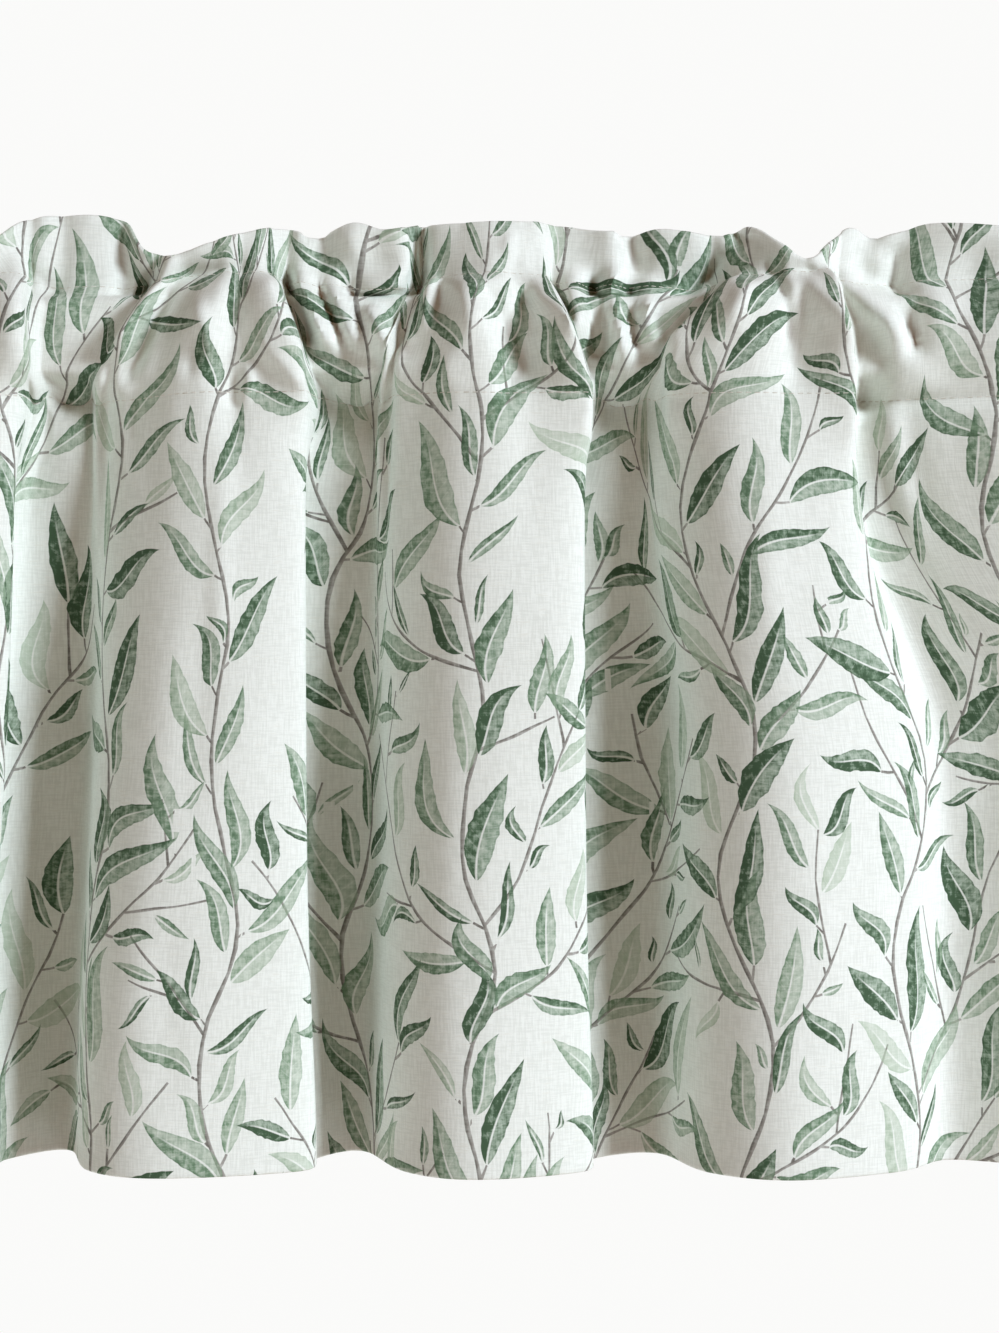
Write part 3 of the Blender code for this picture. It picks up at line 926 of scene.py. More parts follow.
    def _relaxed(self, points: Array, rounds: int) -> Array:
        """Evens out the header's sharpest dents.

        Args:
            points: the front's points.
            rounds: how many times they are moved towards their neighbours.

        Returns:
            The points after it.
        """
        front = self.front
        share = smooth((points[:, :, 2:] - front.cut.lower_row + self.relax_ramp) / self.relax_ramp)
        share[: front.foot - self.relax_rows] = 0.0
        share[-1] = 0.0
        for _ in range(rounds):
            mean = points.copy()
            mean[:, 1:-1] = 0.5 * (points[:, 2:] + points[:, :-2])
            mean[1:-1, :, 1] = 0.5 * mean[1:-1, :, 1] + 0.25 * (points[2:, :, 1] + points[:-2, :, 1])
            points = points + 0.5 * share * (mean - points)
        return points

    def _kept_off_rod(self, points: Array) -> Array:
        """Holds the pocket's front before the rod.

        Args:
            points: the front's points, which it changes.

        Returns:
            The same points.
        """
        front = self.front
        pocket = slice(front.foot + 1, front.neck)
        down = (front.cut.upper_row - points[pocket, :, 2]) / front.cut.pocket
        room = smooth((down - self.rod_room[0]) / self.room_eases[0])
        room = room * smooth((self.rod_room[1] - down) / self.room_eases[1])
        most = -front.rod_front * room + self.past_room * (1.0 - room)
        points[pocket, :, 1] = np.minimum(points[pocket, :, 1], most)
        return points

    def _creased(self, points: Array, crease: Crease) -> Array:
        """Lays one crease.

        Args:
            points: the front's points.
            crease: the crease.

        Returns:
            The points after it.
        """
        start = np.array([crease.x0, crease.z0]) * CM
        run = np.array([crease.x1, crease.z1]) * CM - start
        length = np.hypot(*run)
        run /= length
        offset = points[:, :, [0, 2]] - start
        along = (offset @ run) / length
        side = -1.0 if run[1] < 0 else 1.0
        aside = side * (offset[:, :, 0] * run[1] - offset[:, :, 1] * run[0])
        width = np.where(aside < 0, crease.left, crease.right) * CM
        share = np.exp(-(np.abs(aside / width) ** crease.power))
        share *= smooth((along + self.crease_past) / self.crease_fade) * smooth(
            (1.0 + self.crease_past - along) / self.crease_fade
        )
        share *= smooth((points[:, :, 2] + self.crease_foot) / self.foot_fade)
        moved = points.copy()
        moved[:, :, 1] -= crease.rise * MM * share
        moved[:, :, 0] += crease.lean * MM * share * side * run[1]
        moved[:, :, 2] -= crease.lean * MM * share * side * run[0]
        return moved


# --- The printed plants ---


class LeafKind(Enum):
    """The willow leaves of the print: length and half width in mm, how dense the ink is, and how often."""

    BROAD = (39.0, 6.6, 0.84, 0.32)
    LONG = (50.0, 6.4, 0.72, 0.26)
    PALE = (43.0, 6.2, 0.40, 0.18)
    SLIM = (36.0, 3.7, 0.78, 0.14)
    BUD = (19.0, 3.4, 0.88, 0.10)

    def __init__(self, length: float, half_width: float, tone: float, share: float) -> None:
        """Keeps the kind's values under their names."""
        self.length = length
        self.half_width = half_width
        self.tone = tone
        self.share = share


class StemKind(NamedTuple):
    """A kind of printed stem, its half widths and length in millimetres.

    upright is how strongly it turns to the upright, from 0 to 1, and sway how far it swings, in radians.
    leaf is the size of its leaves against others. grows is the kind that branches from it.
    """

    foot: float
    tip: float
    upright: float
    sway: Pair
    leaf: float
    span: Pair | None = None
    grows: "StemKind | None" = None


TAPER = 0.6
TWIG = StemKind(0.60, TAPER * 0.60, 0.40, (0.10, 0.26), 0.95, (34.0, 76.0))
BRANCH = StemKind(0.76, TAPER * 0.76, 0.40, (0.10, 0.26), 1.05, (70.0, 170.0), TWIG)
MAIN_STEM = StemKind(0.95, 0.75, 1.0, (0.22, 0.40), 1.05, None, BRANCH)


class Leaf(NamedTuple):
    """One printed leaf, in millimetres of the flat cloth, its angle in radians from the upright."""

    across: float
    up: float
    angle: float
    length: float
    half_width: float
    bend: float
    tone: float
    seed: float


class Stem(NamedTuple):
    """One printed stem, in millimetres of the flat cloth: its line, and its half width at either end."""

    line: Array
    foot: float
    tip: float


@dataclass
class WillowPrint:
    """A loose print of upright branching willow stems, laid out by rule from a fixed seed.

    Lengths are in millimetres of the flat cloth and angles in radians. A pair of values is the least and the
    most of what is drawn evenly between them.
    """

    width: float
    length: float
    seed: int = 31
    step: float = 4.0  # between the points of a stem
    cell: float = 2.0  # of the ground on which motifs are kept apart
    margin: float = 30.0  # of that ground beyond the cloth
    stem_pitch: float = 96.0
    stem_spread: Pair = (0.82, 1.18)
    stem_foot: Pair = (10.0, 60.0)  # how far below the hem a main stem starts
    stem_lean: Pair = (-0.16, 0.16)
    past_sides: Pair = (10.0, 20.0)
    past_top: float = 100.0
    wave: Pair = (120.0, 210.0)
    straightens: float = 110.0
    turn_kept: float = 0.8
    turn_drawn: float = 0.045
    first_branch: Pair = (14.0, 44.0)
    branch_gap: Pair = (18.0, 38.0)
    branch_angle: Pair = (0.50, 0.95)
    branch_end: float = 12.0
    changes_side: float = 0.8
    clear_start: int = 5  # steps of a branch that may lie near its own stem
    clearance: float = 9.0
    least_branch: float = 18.0
    leafy: float = 0.30  # share of its leaves that has to find room for a branch to stay
    first_leaf: Pair = (6.0, 16.0)
    leaf_gap: Pair = (10.0, 19.0)
    leaf_end: float = 3.0
    leaf_angle: Pair = (0.45, 1.15)
    tip_angle: Pair = (-0.2, 0.2)
    tip_size: Pair = (0.8, 1.05)
    stalk: Pair = (2.5, 8.0)
    stalk_bend: Pair = (0.0, 0.30)
    stalk_halves: Pair = (0.60, 0.45)
    attempts: int = 4  # to find room for a leaf
    shrinks: float = 0.84  # with each attempt
    leaf_size: Pair = (0.72, 1.15)
    leaf_width: Pair = (0.85, 1.12)
    leaf_bend: float = 0.55
    tone_spread: float = 0.16
    tones: Pair = (0.18, 1.0)
    overlap: float = 0.14  # share of a leaf that may lie on others
    crossing: float = 0.224  # share of it that may lie on stems
    body_share: float = 0.8  # of a leaf's half width, that counts as taken
    body_start: float = 0.16  # share of its length at which the places that have to be free begin
    body_places: int = 9
    belly_places: tuple[int, int] = (2, 6)  # those that have to be free to both sides as well
    most_seed: float = 90.0
    stems: list[Stem] = field(default_factory=list)
    leaves: list[Leaf] = field(default_factory=list)

    def __post_init__(self) -> None:
        """Clears the ground on which stems and leaves are kept apart."""
        self.rng = np.random.default_rng(self.seed)
        cells = [int((size + 2 * self.margin) / self.cell) + 2 for size in (self.width, self.length)]
        self.ground = np.zeros(cells)
        self.taken = np.zeros_like(self.ground)

    def grow(self) -> None:
        """Grows main stems with their leaves over the whole panel, then branches where leaves find room."""
        grown = []
        across = -self.past_sides[0]
        while across < self.width + self.past_sides[1]:
            foot = np.array([across, -self.rng.uniform(*self.stem_foot)])
            lean = self.rng.uniform(*self.stem_lean)
            line = self._wander(foot, lean, self.length + self.past_top, MAIN_STEM)
            self._draw_stem(line, MAIN_STEM)
            grown.append((line, MAIN_STEM))
            across += self.stem_pitch * self.rng.uniform(*self.stem_spread)
        for line, kind in grown:
            self._dress(line, kind)
        for line, kind in grown:
            if kind.grows is not None:
                grown.extend(self._branch(line, kind.grows))

    def _side(self) -> int:
        """Draws a side of a stem, -1 for its left and 1 for its right."""
        return 1 if self.rng.random() < 0.5 else -1

    def _wander(self, foot: Array, lean: float, length: float, kind: StemKind) -> Array:
        """Draws a stem's line.

        Args:
            foot: where it starts.
            lean: its angle from the upright there.
            length: how long it is.
            kind: the stem's kind.

        Returns:
            Its points, a step apart.
        """
        rng = self.rng
        count = max(3, int(length / self.step))
        wave = rng.uniform(*self.wave)
        phase = rng.uniform(0.0, 2 * math.pi)
        sway = rng.uniform(*kind.sway)
        points = [foot]
        turn = 0.0
        for k in range(count):
            turn = self.turn_kept * turn + rng.normal(0.0, self.turn_drawn)
            settled = lean * (1.0 - kind.upright * min(1.0, k * self.step / self.straightens))
            angle = settled + sway * math.sin(2 * math.pi * k * self.step / wave + phase) + turn
            points.append(points[-1] + self.step * heading(angle))
        return np.array(points)

    def _cells(self, points: Array) -> Array:
        """Returns the ground's cells under points, kept inside it."""
        cells = ((points + self.margin) / self.cell).astype(int)
        return np.clip(cells, 0, np.array(self.ground.shape) - 1)

    def _mark(self, ground: Array, points: Array, reach: float) -> None:
        """Marks the ground near points as taken.

        Args:
            ground: the ground that is marked, the stems' or the leaves'.
            points: the points.
            reach: how far around each the ground is marked.
        """
        cells = max(1, int(round(reach / self.cell)))
        for x, y in self._cells(points):
            ground[max(0, x - cells) : x + cells + 1, max(0, y - cells) : y + cells + 1] = 1.0

    def _draw_stem(self, line: Array, kind: StemKind) -> None:
        """Prints a stem of a kind along a line."""
        self.stems.append(Stem(line, kind.foot, kind.tip))
        self._mark(self.ground, line, 0.0)

    def _branch(self, line: Array, kind: StemKind) -> list[tuple[Array, StemKind]]:
        """Grows the branches of one stem, each up to the next stem in its way.

        Args:
            line: the stem's points.
            kind: the kind of the branches.

        Returns:
            Each branch's line and kind.
        """
        rng = self.rng
        grown = []
        side = self._side()
        reached = rng.uniform(*self.first_branch)
        while reached < self._length(line) - self.branch_end:
            at, angle = self._read(line, reached)
            span = rng.uniform(*kind.span)
            branch = self._wander(at, angle + side * rng.uniform(*self.branch_angle), span, kind)
            free = self.clear_start + int(np.argmax(self._blocked(branch[self.clear_start :])))
            branch = branch[:free]
            if self._length(branch) > self.least_branch and self._grow_branch(branch, kind):
                grown.append((branch, kind))
            side = -side if rng.random() < self.changes_side else side
            reached += rng.uniform(*self.branch_gap)
        return grown

    def _grow_branch(self, line: Array, kind: StemKind) -> bool:
        """Prints a branch with its leaves, unless too few of them find room.

        Args:
            line: the branch's points.
            kind: its kind.

        Returns:
            Whether it was kept.
        """
        stems, leaves = len(self.stems), len(self.leaves)
        grounds = self.ground.copy(), self.taken.copy()
        self._draw_stem(line, kind)
        kept = self._dress(line, kind) > self.leafy
        if not kept:
            del self.stems[stems:], self.leaves[leaves:]
            self.ground, self.taken = grounds
        return kept

    def _blocked(self, line: Array) -> Array:
        """Finds where a line comes too near a printed stem.

        Args:
            line: the line's points.

        Returns:
            1 at each point that is too near and at the last, and 0 at the others.
        """
        taken = np.zeros(len(line))
        for aside in (0.0, -self.clearance, self.clearance):
            cells = self._cells(line + np.array([aside, 0.0]))
            taken = np.maximum(taken, self.ground[cells[:, 0], cells[:, 1]])
        taken[-1] = 1.0
        return taken

    def _dress(self, line: Array, kind: StemKind) -> float:
        """Hangs leaves on both sides of one stem, and one at its tip unless it runs off the cloth.

        Args:
            line: the stem's points.
            kind: its kind.

        Returns:
            The share of the leaves that found room.
        """
        rng = self.rng
        side = self._side()
        reached = rng.uniform(*self.first_leaf)
        hung = []
        while reached < self._length(line) - self.leaf_end:
            at, angle = self._read(line, reached)
            hung.append(self._hang_leaf(at, angle, side, kind.leaf))
            side = -side
            reached += rng.uniform(*self.leaf_gap)
        if kind is not MAIN_STEM:
            at, angle = self._read(line, self._length(line))
            angle += rng.uniform(*self.tip_angle)
            hung.append(self._place_leaf(at, angle, rng.uniform(*self.tip_size)))
        return sum(hung) / max(1, len(hung))

    def _length(self, line: Array) -> float:
        """Returns a line's length."""
        return (len(line) - 1) * self.step

    def _read(self, line: Array, reached: float) -> tuple[Array, float]:
        """Reads a line at a length along it.

        Args:
            line: its points.
            reached: the length.

        Returns:
            The point there, and the line's angle from the upright.
        """
        k = min(int(reached / self.step), len(line) - 2)
        run = line[k + 1] - line[k]
        return line[k] + run * (reached / self.step - k), math.atan2(run[0], run[1])

    def _hang_leaf(self, at: Array, angle: float, side: int, scale: float) -> bool:
        """Grows a short stalk from a stem and a leaf at its end.

        Args:
            at: where the stalk leaves the stem.
            angle: the stem's angle there.
            side: the side on which the leaf hangs.
            scale: its size against others of its kind.

        Returns:
            Whether there was room for it.
        """
        rng = self.rng
        for attempt in range(self.attempts):
            turned = angle + side * rng.uniform(*self.leaf_angle)
            reach = rng.uniform(*self.stalk)
            bend = -side * rng.uniform(*self.stalk_bend)
            middle = at + 0.5 * reach * heading(turned)
            tip = middle + 0.5 * reach * heading(turned + bend)
            if self._place_leaf(tip, turned + 1.5 * bend, scale * self.shrinks**attempt):
                self.stems.append(Stem(np.array([at, middle, tip]), *self.stalk_halves))
                return True
        return False

    def _place_leaf(self, at: Array, angle: float, scale: float) -> bool:
        """Prints one leaf if the ground is free.

        Args:
            at: its foot.
            angle: its angle from the upright.
            scale: its size against others of its kind.

        Returns:
            Whether it was printed.
        """
        rng = self.rng
        kinds = list(LeafKind)
        kind = kinds[int(rng.choice(len(kinds), p=[each.share for each in kinds]))]
        size = scale * rng.uniform(*self.leaf_size)
        length = kind.length * size
        half_width = kind.half_width * size * rng.uniform(*self.leaf_width)
        tone = float(np.clip(kind.tone + rng.normal(0.0, self.tone_spread), *self.tones))
        bend = rng.normal(0.0, self.leaf_bend)
        seed = rng.uniform(0.0, self.most_seed)
        aim = heading(angle)
        aside = np.array([aim[1], -aim[0]]) * half_width * self.body_share
        middles = at + np.linspace(self.body_start, 1.0, self.body_places)[:, None] * aim * length
        belly = middles[slice(*self.belly_places)]
        cells = self._cells(np.concatenate([middles, belly + aside, belly - aside]))
        if self.taken[cells[:, 0], cells[:, 1]].mean() > self.overlap:
            return False
        if self.ground[cells[2:, 0], cells[2:, 1]].mean() > self.crossing:
            return False
        self._mark(self.taken, middles[:-1], half_width * self.body_share)
        self.leaves.append(Leaf(at[0], at[1], angle, length, half_width, bend, tone, seed))
        return True


@dataclass
class PrintOnGrid:
    """Carries the print to a grid of faces, as each face's own coordinates in the leaves and stems on it.

    A leaf's coordinates are how far along it and how many half widths beside it a corner lies. A stem's are
    the distance from its line, its half width, and how far inside its nearer end, all in millimetres. The
    material draws the true outlines from them, as fine as the render needs.
    """

    across: Array
    up: Array
    leaf_layers: int = 3
    stem_layers: int = 3
    knobs: float = 0.22  # share of a stem's half width by which it swells and narrows
    knob_pitch: float = 4.6
    far: float = 99.0  # what a face with no stem on it says of its distance from one
    belly_slack: float = 1.65  # half widths beside its midline within which a leaf is drawn
    bend_slack: float = 0.15  # half widths more for a bend of 1
    end_slack: float = 0.02  # of its length, past its ends
    leaf_reach: float = 1.3  # half widths around a straight leaf that are looked at
    stem_reach: float = 1.0
    stem_end: float = -0.5

    def __post_init__(self) -> None:
        """Makes empty layers, by row, column, corner and value."""
        shape = (len(self.up) - 1, len(self.across) - 1, 4, 3)
        self.leaf_place = [np.full(shape, -9.0) for _ in range(self.leaf_layers)]
        self.leaf_form = [np.zeros(shape) for _ in range(self.leaf_layers)]
        self.stem_place = [np.zeros(shape) + np.array([self.far, 0.0, 0.0]) for _ in range(self.stem_layers)]
        self.leaf_count = np.zeros(shape[:2], int)
        self.stem_count = np.zeros(shape[:2], int)

    def _window(self, ends: Array, reach: float) -> tuple[slice, slice] | None:
        """Finds the faces near a motif.

        Args:
            ends: points of the motif that span it.
            reach: how far beyond them it reaches.

        Returns:
            Their rows and columns, or None where it lies off the cloth.
        """
        low, high = ends.min(axis=0) - reach, ends.max(axis=0) + reach
        rows = np.searchsorted(self.up, [low[1], high[1]]) + np.array([-1, 0])
        columns = np.searchsorted(self.across, [low[0], high[0]]) + np.array([-1, 0])
        rows = np.clip(rows, 0, len(self.up) - 1)
        columns = np.clip(columns, 0, len(self.across) - 1)
        if rows[0] >= rows[1] or columns[0] >= columns[1]:
            return None
        return slice(*rows), slice(*columns)

    def _points(self, window: tuple[slice, slice]) -> Array:
        """Returns the corner points of a window of faces, by row, column and axis."""
        up, across = (line[part.start : part.stop + 1] for line, part in zip((self.up, self.across), window))
        return np.stack(np.broadcast_arrays(across[None, :], up[:, None]), axis=-1)

    @staticmethod
    def _write(
        layers: Sequence[tuple[list[Array], Array]],
        count: Array,
        window: tuple[slice, slice],
        on: Array,
    ) -> None:
        """Writes values to the next free layer of each face that a motif is on.

        Args:
            layers: pairs of a list of layers and the values for them.
            count: how many layers each face has used.
            window: the rows and columns that the values cover.
            on: the faces in the window that take them.
        """
        used = count[window]
        for k in range(len(layers[0][0])):
            here = on & (used == k)
            for targets, values in layers:
                targets[k][window][here] = values[here]
        used[on] += 1

    def lay_leaf(self, leaf: Leaf) -> None:
        """Lays one leaf on the faces that it covers.

        Args:
            leaf: the leaf.
        """
        aim = heading(leaf.angle)
        foot = np.array([leaf.across, leaf.up])
        reach = leaf.half_width * (self.leaf_reach + abs(leaf.bend))
        window = self._window(np.array([foot, foot + aim * leaf.length]), reach)
        if window is None:
            return
        offset = self._points(window) - foot
        along = offset @ aim / leaf.length
        aside = (offset[:, :, 0] * aim[1] - offset[:, :, 1] * aim[0]) / leaf.half_width
        place = face_corners(np.stack([along, aside, np.full_like(along, leaf.seed)], axis=-1))
        form = np.broadcast_to([leaf.half_width, leaf.bend, leaf.tone], place.shape)
        along, aside = place[..., 0], place[..., 1]
        bent = aside - 4.0 * leaf.bend * np.clip(along * (1.0 - along), 0.0, 1.0)
        on = (along.min(axis=2) < 1.0 + self.end_slack) & (along.max(axis=2) > -self.end_slack)
        slack = self.belly_slack + self.bend_slack * abs(leaf.bend)
        on &= (bent.min(axis=2) < slack) & (bent.max(axis=2) > -slack)
        self._write([(self.leaf_place, place), (self.leaf_form, form)], self.leaf_count, window, on)

    def lay_stem(self, stem: Stem) -> None:
        """Lays one stem on the faces that it crosses.

        Args:
            stem: the stem.
        """
        reach = stem.foot + self.stem_reach
        window = self._window(stem.line, reach)
        if window is None:
            return
        runs = np.diff(stem.line, axis=0)
        lengths = np.linalg.norm(runs, axis=1)
        runs /= lengths[:, None]
        starts = np.concatenate([[0.0], np.cumsum(lengths)])
        offset = self._points(window)[:, :, None, :] - stem.line[:-1]
        along = np.einsum("rcsk,sk->rcs", offset, runs)
        aside = offset[..., 0] * runs[:, 1] - offset[..., 1] * runs[:, 0]
        beyond = np.maximum(0.0, np.maximum(-along, along - lengths))
        nearest = np.argmin(np.hypot(beyond, aside), axis=2)[:, :, None]
        aside = np.take_along_axis(aside, nearest, axis=2)[:, :, 0]
        along = np.take_along_axis(along, nearest, axis=2)[:, :, 0] + starts[nearest[:, :, 0]]
        inside = np.minimum(along, starts[-1] - along)
        half = stem.foot + (stem.tip - stem.foot) * np.clip(along / starts[-1], 0.0, 1.0)
        half *= 1.0 + self.knobs * np.sin(along / self.knob_pitch + stem.line[0, 0])
        place = face_corners(np.stack([aside, half, inside], axis=-1))
        on = (place[..., 0].min(axis=2) < reach) & (place[..., 0].max(axis=2) > -reach)
        on &= place[..., 2].max(axis=2) > self.stem_end
        self._write([(self.stem_place, place)], self.stem_count, window, on)

    def attributes(self) -> dict[str, Array]:
        """Returns every layer under its attribute's name, as one vector for each corner of each face."""
        families = {"leaf_place": self.leaf_place, "leaf_form": self.leaf_form, "stem_place": self.stem_place}
        return {
            f"{name}_{k}": values.reshape(-1, 3)
            for name, layers in families.items()
            for k, values in enumerate(layers)
        }


# --- Finishes ---


@dataclass(frozen=True)
class WillowInk:
    """Pigment ink, screen printed in thin washes: matt, denser at each motif's edge, pale along the midrib.

    Lengths are in millimetres. A soft line fades out between two distances from its middle or its edge.
    """

    pale: str = "#ACBDA5"
    middle: str = "#769075"
    deep: str = "#486047"
    bark: str = "#75726A"
    bark_light: str = "#9C9A92"
    mottle_size: float = 3.4
    vein_pitch: float = 4.4
    vein_slant: float = -0.9
    vein_depth: float = 0.13
    vein_line: Pair = (0.02, 0.09)
    slimness: float = 6.5  # a leaf's usual length in half widths
    rim: Pair = (0.2, 1.3)
    rim_depth: float = 0.10
    rib: Pair = (0.31, 0.837)
    rib_bareness: float = 0.92
    rib_taper: float = 0.3
    rib_ends: Pair = (0.55, 0.9)  # shares of the leaf between which the bare midrib ends
    foot_power: float = 0.75  # how bluntly a leaf's outline starts
    point_power: float = 1.15  # how sharply it ends
    least_width: float = 3.0
    tooth_pitch: float = 8.0
    sway: float = 4.5
    half_tones: Pair = (1.08, 0.80)  # how dense the wash is to either side of the midrib
    half_blend: float = 0.2
    wash: Pair = (0.58, 0.5)  # its least density, and how much a full tone adds
    least_belly: float = 0.003
    edge: Pair = (-0.10, 0.26)
    stem_edge: Pair = (-0.12, 0.24)
    stem_end: float = -0.1
    stem_light: float = 0.5  # how far beside its line a stem's light and shaded sides are full
    tones: Pair = (0.25, 0.65)  # at which the pale and the middle colour stand

    def leaf_group(self) -> NodeTree:
        """Makes the node group that draws one layer of leaves.

        Returns:
            A group that takes a leaf's place and form and the mottling, and gives the ink's colour and how
            densely it covers.
        """
        takes = {"Place": "Vector", "Form": "Vector", "Mottle": "Float"}
        tree = new_group("willow_leaf_wash", takes, {"Colour": "Color", "Density": "Float"})
        add = partial(add_node, tree)
        given = tree.nodes.new("NodeGroupInput").outputs
        place = add("SeparateXYZ", {0: given["Place"]}).outputs
        form = add("SeparateXYZ", {0: given["Form"]}).outputs
        along = add("Clamp", {0: place["X"]})
        left = add("Math", {0: 1.0, 1: along}, operation="SUBTRACT")
        belly = add("Math", {0: along, 1: left}, operation="MULTIPLY")
        bow = add("Math", {0: form["Y"], 1: belly}, operation="MULTIPLY")
        aside = add("Math", {0: bow, 1: -4.0, 2: place["Y"]}, operation="MULTIPLY_ADD")
        sway = add("Math", {0: place["Z"]}, operation="SINE")
        sway = add("Math", {0: sway, 1: belly}, operation="MULTIPLY")
        ends = add("Math", {0: left, 1: along}, operation="SUBTRACT")
        sway = add("Math", {0: sway, 1: ends}, operation="MULTIPLY")
        aside = add("Math", {0: sway, 1: self.sway, 2: aside}, operation="MULTIPLY_ADD")
        beside = add("Math", {0: aside}, operation="ABSOLUTE")

        # The outline is widest at two fifths of the leaf and runs out to a drawn point, with a faint tooth.
        foot = add("Math", {0: along, 1: self.foot_power}, operation="POWER")
        point = add("Math", {0: left, 1: self.point_power}, operation="POWER")
        lance = add("Math", {0: foot, 1: point}, operation="MULTIPLY")
        bite = {0: place["X"], 1: self.tooth_pitch, 2: place["Z"]}
        bite = add("Math", bite, operation="MULTIPLY_ADD")
        tooth = add("TexNoise", {"W": bite, "Scale": 1.0, "Detail": 1.0}, noise_dimensions="1D")
        wide = add("Math", {0: tooth, 1: 1.0, 2: self.least_width}, operation="MULTIPLY_ADD")
        outline = add("Math", {0: lance, 1: wide}, operation="MULTIPLY")
        inside = add("Math", {0: outline, 1: beside}, operation="SUBTRACT")
        inside = add("Math", {0: inside, 1: form["X"]}, operation="MULTIPLY")
        edge = {0: inside, 1: self.edge[0], 2: self.edge[1]}
        covered = add("MapRange", edge, interpolation_type="SMOOTHSTEP")
        between = add("Math", {0: belly, 1: self.least_belly}, operation="GREATER_THAN")
        covered = add("Math", {0: covered, 1: between}, operation="MULTIPLY")

        # The wash: one half lighter than the other, mottled, with a denser rim and faint slanting veins.
        rim = {0: inside, 1: self.rim[0], 2: self.rim[1], 3: self.rim_depth, 4: 0.0}
        rim = add("MapRange", rim, interpolation_type="SMOOTHSTEP")
        half = dict(zip(range(5), (aside, -self.half_blend, self.half_blend, *self.half_tones)))
        half = add("MapRange", half, interpolation_type="SMOOTHSTEP")
        veins = add("Math", {0: form["X"], 1: self.slimness / self.vein_pitch}, operation="MULTIPLY")
        rank = add("Math", {0: along, 1: veins}, operation="MULTIPLY")
        rank = add("Math", {0: beside, 1: self.vein_slant, 2: rank}, operation="MULTIPLY_ADD")
        vein = add("Math", {0: rank, 1: 0.5}, operation="PINGPONG")
        vein = {0: vein, 1: self.vein_line[0], 2: self.vein_line[1], 3: self.vein_depth, 4: 0.0}
        vein = add("MapRange", vein)
        wash = add("Math", {0: given["Mottle"], 1: half}, operation="MULTIPLY")
        full = {0: form["Z"], 1: self.wash[1], 2: self.wash[0]}
        full = add("Math", full, operation="MULTIPLY_ADD")
        dense = add("Math", {0: wash, 1: full, 2: rim}, operation="MULTIPLY_ADD")
        dense = add("Math", {0: dense, 1: vein}, operation="SUBTRACT")

        # The midrib is left nearly bare for most of the leaf.
        off = add("Math", {0: beside, 1: form["X"]}, operation="MULTIPLY")
        taper = add("Math", {0: along, 1: self.rib_taper, 2: off}, operation="MULTIPLY_ADD")
        rib = {0: taper, 1: self.rib[0], 2: self.rib[1], 3: self.rib_bareness, 4: 0.0}
        rib = add("MapRange", rib, interpolation_type="SMOOTHSTEP")
        fades = {0: along, 1: self.rib_ends[0], 2: self.rib_ends[1], 3: 1.0, 4: 0.0}
        fades = add("MapRange", fades, interpolation_type="SMOOTHSTEP")
        rib = add("Math", {0: rib, 1: fades}, operation="MULTIPLY")
        rest = add("Math", {0: 1.0, 1: rib}, operation="SUBTRACT")
        inked = add("Math", {0: dense, 1: rest}, operation="MULTIPLY")
        density = add("Math", {0: inked, 1: covered}, operation="MULTIPLY", use_clamp=True)

        tone = add("Math", {0: form["Z"], 1: wash, 2: rim}, operation="MULTIPLY_ADD")
        ramp = add("ValToRGB", {0: tone})
        stops = ramp.color_ramp.elements
        stops[0].position = self.tones[0]
        stops[0].color = linear(self.pale)
        stops[1].position = 1.0
        stops[1].color = linear(self.deep)
        stops.new(self.tones[1]).color = linear(self.middle)
        feed(tree.nodes.new("NodeGroupOutput"), {"Colour": ramp, "Density": density})
        return tree

    def stem_group(self) -> NodeTree:
        """Makes the node group that draws one layer of stems.

        Returns:
            A group that takes a stem's place and the mottling, and gives how densely it covers and how far
            to its light side a point lies.
        """
        takes = {"Place": "Vector", "Mottle": "Float"}
        tree = new_group("willow_stem_line", takes, {"Density": "Float", "Light": "Float"})
        add = partial(add_node, tree)
        given = tree.nodes.new("NodeGroupInput").outputs
        place = add("SeparateXYZ", {0: given["Place"]}).outputs
        beside = add("Math", {0: place["X"]}, operation="ABSOLUTE")
        past = add("Math", {0: beside, 1: place["Y"]}, operation="SUBTRACT")
        line = {0: past, 1: self.stem_edge[0], 2: self.stem_edge[1], 3: 1.0, 4: 0.0}
        line = add("MapRange", line, interpolation_type="SMOOTHSTEP")
        ends = add("Math", {0: place["Z"], 1: self.stem_end}, operation="GREATER_THAN")
        line = add("Math", {0: line, 1: ends}, operation="MULTIPLY")
        density = add("Math", {0: line, 1: given["Mottle"]}, operation="MULTIPLY", use_clamp=True)
        light = add("MapRange", {0: place["X"], 1: -self.stem_light, 2: self.stem_light})
        feed(tree.nodes.new("NodeGroupOutput"), {"Density": density, "Light": light})
        return tree


